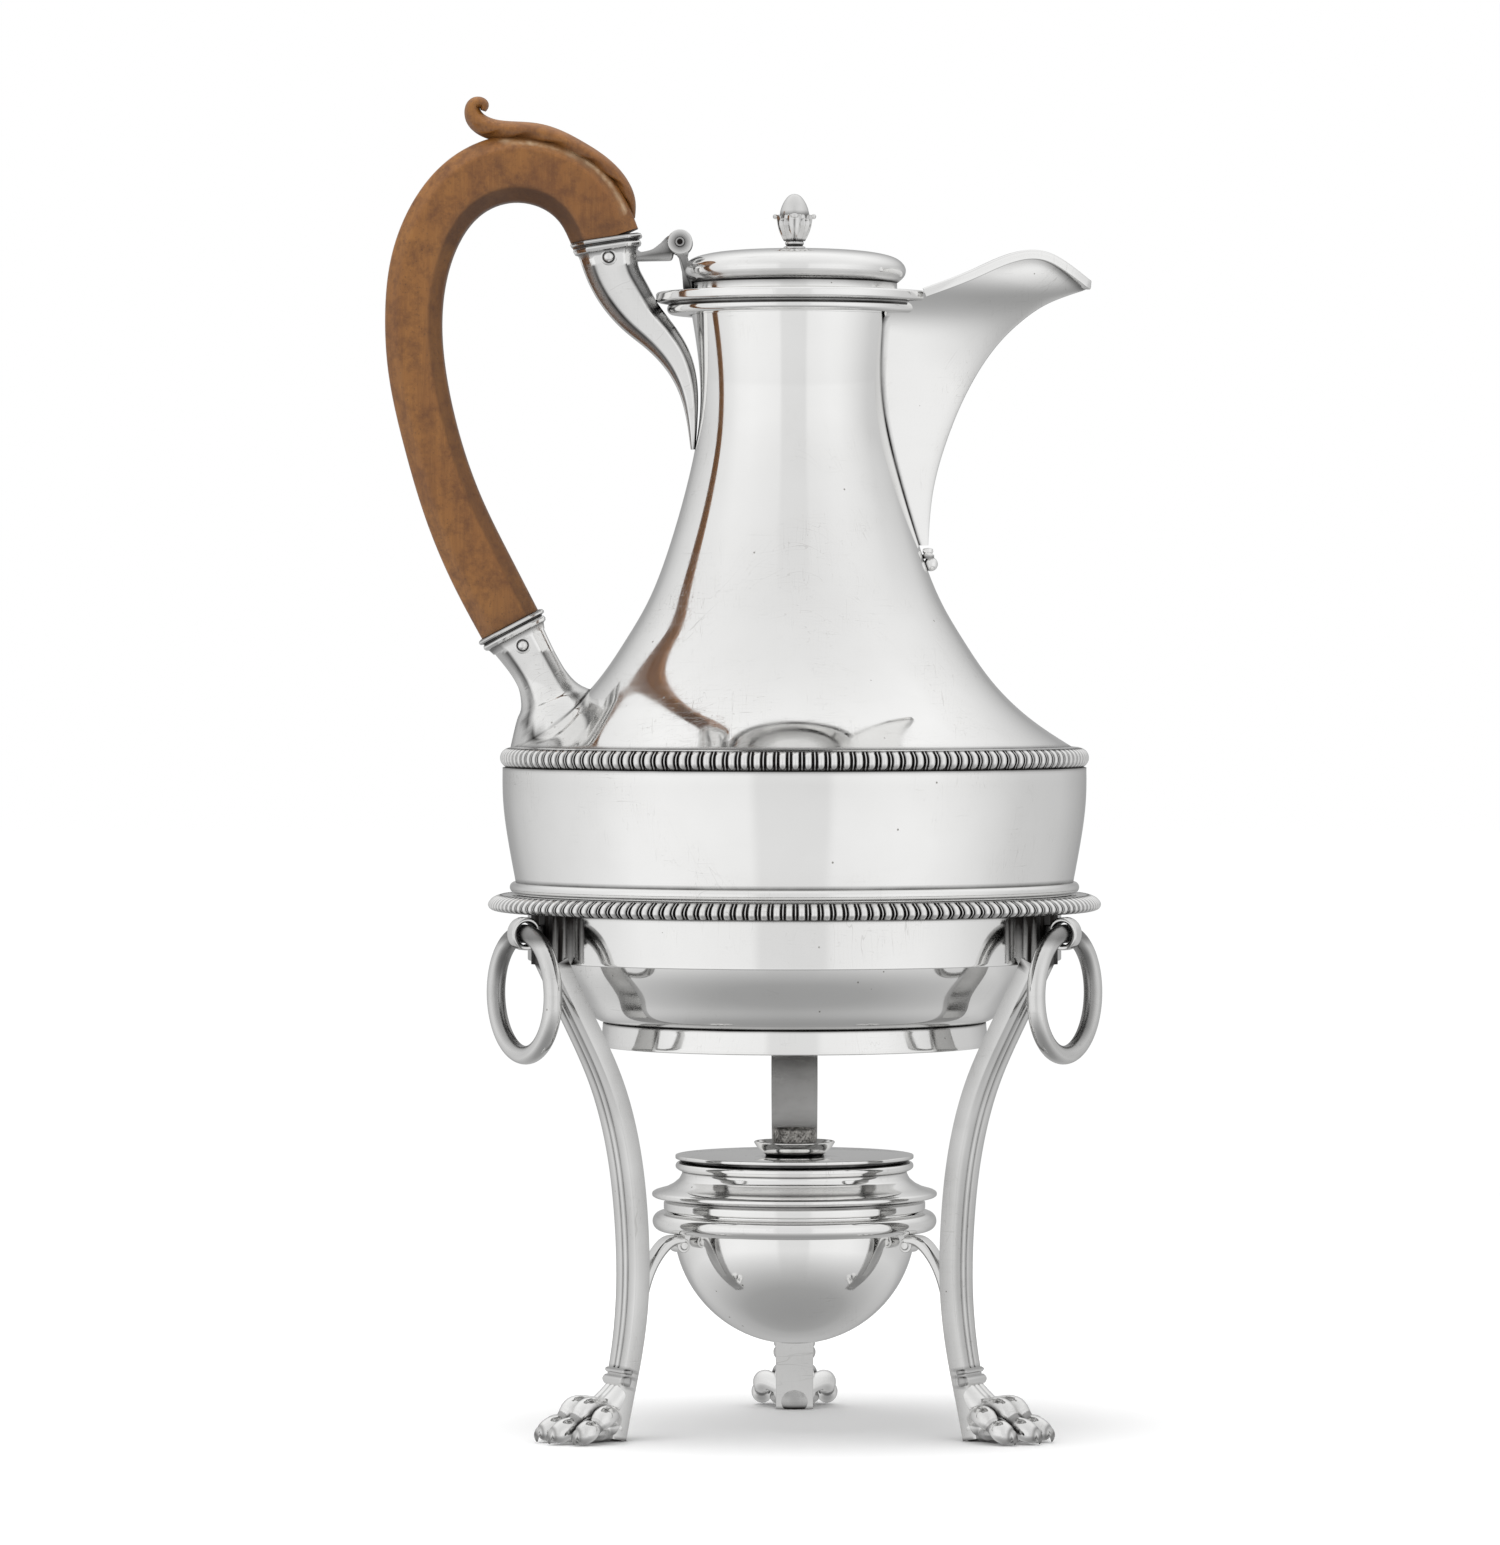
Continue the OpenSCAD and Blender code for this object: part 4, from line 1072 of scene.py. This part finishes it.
def paw_dark(turn):
    """Painted shade between the toes, where each toe dips behind its tip, round the claws and low on
    the sides, and a painted reflection of the shadowed floor near the ground.
    """
    def dark(p):
        out, across = in_leg(p, turn)
        q = np.stack([out, p[:, 2], across], 1)
        off, girth = [], []
        for path in TOES:
            d = np.linalg.norm(q[:, None] - path[None, :, :3], axis=2) - path[:, 3]
            off.append(d.min(1))
            girth.append(path[d.argmin(1), 3])
        first, second = np.sort(off, axis=0)[:2]
        girth = np.choose(np.argmin(off, axis=0), girth)
        crease = bell(second, first, 1.0) * np.clip((out - 52.5) / 2, 0, 1)
        dip = np.clip((2.25 - girth) / 0.3, 0, 1) * (out > 57) * (first < 0.6)
        sides = np.clip((first - 0.5) / 0.8, 0, 1) * np.clip((7 - p[:, 2]) / 3, 0, 1)
        tips = [np.linalg.norm(q - [tip + 1.8, 2.6, y], axis=1) for y, tip in CLAWS]
        claw = bell(np.min(tips, axis=0), 1.5, 0.4)
        floor = bell(p[:, 2], 0, 0.7)
        return 0.95 * crease + 0.55 * dip + 0.4 * sides + 0.5 * claw + 0.7 * floor
    return dark


def paw_at(name, turn):
    me = PAW.copy()
    me.vertices.foreach_set("co", placed(points_of(PAW), turn).ravel())
    nails = mesh_of(claws(), turn)
    bm = bmesh.new()
    bm.from_mesh(me)
    bm.from_mesh(nails)
    bm.to_mesh(me)
    bm.free()
    me.update()
    piece("lion_" + name, me, "stand", "paw_" + name, CAST_OLD, sharp=70,
          dirt_and_shade=paw_dark(turn))


LOOP = (73.4, 120.6)


def loop_dark(turn):
    """Painted shade in the corners of the loop: where it meets the block, and inside its hole."""
    def dark(p):
        x, y = in_leg(p, turn)
        away = np.hypot(x - LOOP[0], p[:, 2] - LOOP[1])
        return 0.9 * bell(x, 68.9, 0.9) + 0.9 * (away < 3.0) * (np.abs(y) < 1.9)
    return dark


def ring_dark(turn):
    """Painted shade inside the ring, and at its top where it hangs in the loop."""
    def dark(p):
        reach = np.hypot(in_leg(p, turn)[1], p[:, 2] - 106.3)
        return 0.5 * np.clip((13.6 - reach) / 1.2, 0, 1) + 0.6 * np.clip((p[:, 2] - 117.5) / 2, 0, 1)
    return dark


for name, turn in TURNS.items():
    piece("stem_" + name, leg_shells() + [head_block()], "stand", "leg_" + name,
          BODY if name == "back" else OLD_AND_SHADED, turn, 40, leg_dark(turn))
    paw_at(name, turn)
    loop = [about_y(rounded([[2.65, -1.6], [3.9, -1.6], [3.9, 1.6], [2.65, 1.6]], 0.5, 4), LOOP),
            block((68.6, -1.6, 118.6), (71.0, 1.6, 122.6), 0.4)]
    piece("eye_" + name, loop, "stand", "loop_" + name, OLD_AND_SHADED, turn,
          dirt_and_shade=loop_dark(turn))
    a = np.linspace(0, 2 * math.pi, 121)[:-1]
    b = np.linspace(0, 2 * math.pi, 41)[:-1]
    reach = 14.3 + 2.2 * np.cos(b)[None, :]
    ring = np.stack([73.4 + 2.2 * np.sin(b)[None, :] + 0 * a[:, None],
                     reach * np.cos(a)[:, None], 106.3 + reach * np.sin(a)[:, None]], 2)
    piece("drop_ring_" + name, [(ring, True, False)], "ring_" + name, "ring_" + name,
          OLD_AND_SHADED, turn, dirt_and_shade=ring_dark(turn))
    scroll = [bar_sweep([[43.5, 23, 1, 3.4], [42.6, 30, 1.8, 4], [41, 37.6, 2.2, 4.4],
                         [37.9, 43.6, 2.4, 4.8], [34.2, 46.7, 2.4, 5], [31.4, 46.9, 1.8, 5]],
                        10, 0.24, 0.3),
              about_y(rounded([[0, -2.6], [0.9, -2.6], [1.0, -2.2], [1.7, -2.2], [1.7, 2.2],
                               [1.0, 2.2], [0.9, 2.6], [0, 2.6]], 0.2, closed=False),
                      (31.6, 45.6), 48, False)]
    # painted shade in the scroll's hollows
    piece("scroll_" + name, scroll, "stand", "bracket_" + name, OLD_AND_SHADED, turn,
          dirt_and_shade=(6, 6.0))

# ---------------------------------------------------------------- lamp

BALL = arc(0, 49.8, 29.1, -90, math.degrees(math.asin(3.1 / 29.1)), 60)
BALL_IN = arc(0, 49.8, 28.1, -90, math.degrees(math.asin(3.1 / 28.1)), 60)
BALL[0, 0] = BALL_IN[0, 0] = 0
piece("lamp_ball", [revolve(outline(BALL, BALL_IN[::-1]), 300, False)], "lamp", "lamp_bowl", BODY)
TOP = [[28, 52.9], [31.2, 52.9], [31.4, 53.4], [31.4, 54.9], [30.8, 55.2], [30.8, 55.95],
       [33.6, 56], [34.2, 56.4], [34.2, 57.2], [33.5, 57.6], [31.0, 58.3], [29.2, 59.2],
       [27.7, 60.4], [27.0, 61.7], [27.0, 62.3], [27.9, 62.6], [28.5, 63.1], [28.6, 63.7],
       [28.3, 64.3], [27.4, 64.7], [25.6, 64.7], [25.6, 60.4], [28, 57]]
piece("lamp_top", [revolve(rounded(TOP, 0.45, 4), 300)], "lamp", "lamp_shoulder", TRIM,
      dirt_and_shade=lines((55.6, 0.3, 0.9), (62.35, 0.25, 0.75), (64.9, 0.25, 0.9)))
piece("burner_plate",
      [revolve(rounded([[4.7, 65.3], [28.6, 65.3], [28.6, 66.2], [4.7, 66.2]], 0.25), 240),
       revolve(rounded([[24.2, 60.4], [25.2, 60.4], [25.2, 65.5], [24.2, 65.5]], 0.2), 240)],
      "burner", "lamp_plate", CAST_BODY, dirt_and_shade=lines((65.25, 0.2, 0.9)))
CUP = [[5.3, 66.2], [6.9, 66.2], [8.0, 66.9], [9.0, 68.0], [9.75, 69.2], [9.5, 69.5],
       [9.1, 69.4], [8.2, 68.5], [7.2, 67.6], [6.4, 67.1], [5.3, 67.1]]
piece("cup", [revolve(rounded(CUP, 0.25), 144)], "burner", "drip_cup", TRIM,
      dirt_and_shade=lines((66.3, 0.3, 0.9)))


def knurled():
    z = np.concatenate([[66.2, 67.0], np.linspace(67.4, 71.4, 24), [71.7, 72.1, 72.5]])
    a = np.arange(288) * 2 * math.pi / 288
    depth = np.zeros_like(z)
    depth[2:26] = 0.13
    cross = np.abs(np.sin(16 * a[None] + 2.4 * z[:, None]) * np.sin(16 * a[None] - 2.4 * z[:, None]))
    outer = np.full_like(z, 5.3)
    outer[-1] = 5.0
    r = outer[:, None] - depth[:, None] * (1 - cross)
    inside = at_angles(np.full((2, 1), 4.25), a, np.array([[72.45], [66.2]]))
    return np.concatenate([at_angles(r, a, z[:, None]), inside]), True, False


TUBE = [[4.2, 44], [4.7, 44], [4.7, 66.2], [4.2, 66.2]]
piece("wick_holder", [knurled(), revolve(rounded(TUBE, 0.15), 96)], "burner", "wick_tube", DARK,
      sharp=50)
STRAND = rounded([[0, 30], [1.35, 30], [1.4, 71.0], [0.9, 71.7], [0, 71.9]], 0.3, closed=False)
around = [(2.5 * math.cos(t), 2.5 * math.sin(t)) for t in np.radians(np.arange(6) * 60)]
tuft = []
for k, (x, y) in enumerate([(0, 0)] + around):
    strand = revolve(STRAND, 20, False)[0] + [x, y, -0.12 * (k % 3)]
    tuft.append((strand, False, False))
piece("wick_strands", tuft, "burner", "wick", COTTON)

# ---------------------------------------------------------------- studio


def studio():
    """World fitted to the reflections in the photo, and a white paper floor."""
    scene = bpy.context.scene
    scene.view_settings.view_transform = "Standard"
    world = bpy.data.worlds.new("studio")
    scene.world = world
    world.use_nodes = True
    n = Nodes(world.node_tree)
    axes = n.add("SeparateXYZ", Vector=n.add("TexCoord").outputs["Generated"])
    x, y, z = axes.outputs
    round_it = n.math("ARCTAN2", x, n.math("MULTIPLY", y, -1.0))
    sides = n.greys(n.math("MULTIPLY_ADD", round_it, 0.5 / math.pi, 0.5), [
        (0.0, 0.42), (0.04, 0.37), (0.07, 0.43), (0.1, 0.56), (0.14, 0.67), (0.22, 0.78),
        (0.265, 0.84), (0.305, 0.93), (0.35, 0.95), (0.45, 0.9), (0.46, 0.78), (0.535, 0.77),
        (0.545, 0.88), (0.62, 0.93), (0.655, 0.92), (0.695, 0.85), (0.735, 0.76),
        (0.78, 0.65), (0.86, 0.6), (0.9, 0.51), (0.93, 0.44), (0.96, 0.38), (1.0, 0.42)])
    top = n.math("MULTIPLY_ADD", y, 0.16, 0.9)
    overhead = n.add("CombineColor", Red=top, Green=top, Blue=top).outputs[0]
    above = n.mix(n.ramp(z, 0.2, 0.8), sides, overhead)
    fall = n.greys(n.math("MULTIPLY", z, -1.0), [
        (0.0, 0.96), (0.2, 0.99), (0.38, 1.0), (0.52, 0.82), (0.7, 0.6), (0.87, 0.43),
        (1.0, 0.38)])
    level = n.mix(n.ramp(z, -0.3, -0.8), sides, (0.84, 0.84, 0.84, 1))
    table = n.add("Mix", data_type="RGBA", blend_type="MULTIPLY")
    n.put(table.inputs[0], 1.0)
    n.put(table.inputs[6], level)
    n.put(table.inputs[7], fall)
    around = n.mix(n.ramp(z, 0.0, -0.02), above, table.outputs[2])
    seen = n.mix(n.add("LightPath").outputs["Is Camera Ray"], around, (1, 1, 1, 1))
    back = n.add("Background", Color=seen, Strength=1.0)
    out = n.add("OutputWorld")
    n.tree.links.new(back.outputs[0], out.inputs[0])

    floor_mesh = bpy.data.meshes.new("floor")
    bm = bmesh.new()
    bmesh.ops.create_circle(bm, cap_ends=True, segments=96, radius=6.0)
    bm.to_mesh(floor_mesh)
    bm.free()
    floor = bpy.data.objects.new("floor", floor_mesh)
    scene.collection.objects.link(floor)
    paper, n, where, surface = new_material("floor_paper")
    tooth = n.noise(where, 60.0, 4.0, 0.6)
    n.put(surface.inputs["Base Color"],
          n.mix(n.math("MULTIPLY", tooth, 0.3), (0.97, 0.97, 0.97, 1), (0.94, 0.94, 0.94, 1)))
    n.put(surface.inputs["Roughness"], 0.95)
    far = n.add("VectorMath", operation="LENGTH")
    n.put(far.inputs[0], where)
    fade = n.add("MapRange", Value=far.outputs["Value"], **{"From Min": 0.3, "From Max": 0.85},
                 interpolation_type="SMOOTHSTEP")
    lit = n.add("Emission", Color=(1, 1, 1, 1), Strength=1.02)
    both_ways = n.add("MixShader")
    n.put(both_ways.inputs[0], fade.outputs[0])
    n.tree.links.new(surface.outputs[0], both_ways.inputs[1])
    n.tree.links.new(lit.outputs[0], both_ways.inputs[2])
    out = next(node for node in n.tree.nodes if node.type == "OUTPUT_MATERIAL")
    n.tree.links.new(both_ways.outputs[0], out.inputs[0])
    floor_mesh.materials.append(paper)
    floor.visible_glossy = False

    light = bpy.data.lights.new("overhead", "AREA")
    light.shape, light.size, light.energy = "DISK", 1.6, 24.0
    lamp = bpy.data.objects.new("overhead", light)
    lamp.location = (AXIS_X - 0.15, -0.35, 1.7)
    lamp.rotation_euler = (math.radians(-12), math.radians(-5), 0)
    lamp.visible_glossy = False
    lamp.visible_camera = False
    scene.collection.objects.link(lamp)

    camera = bpy.data.cameras.new("camera")
    camera.lens, camera.sensor_width = 178.3, 36.0
    camera.shift_x, camera.shift_y = -0.0288, 0.0053
    eye = bpy.data.objects.new("camera", camera)
    eye.location = (AXIS_X, -1.836, 0.188)
    eye.rotation_euler = (math.radians(89), 0, 0)
    scene.collection.objects.link(eye)
    scene.camera = eye


studio()
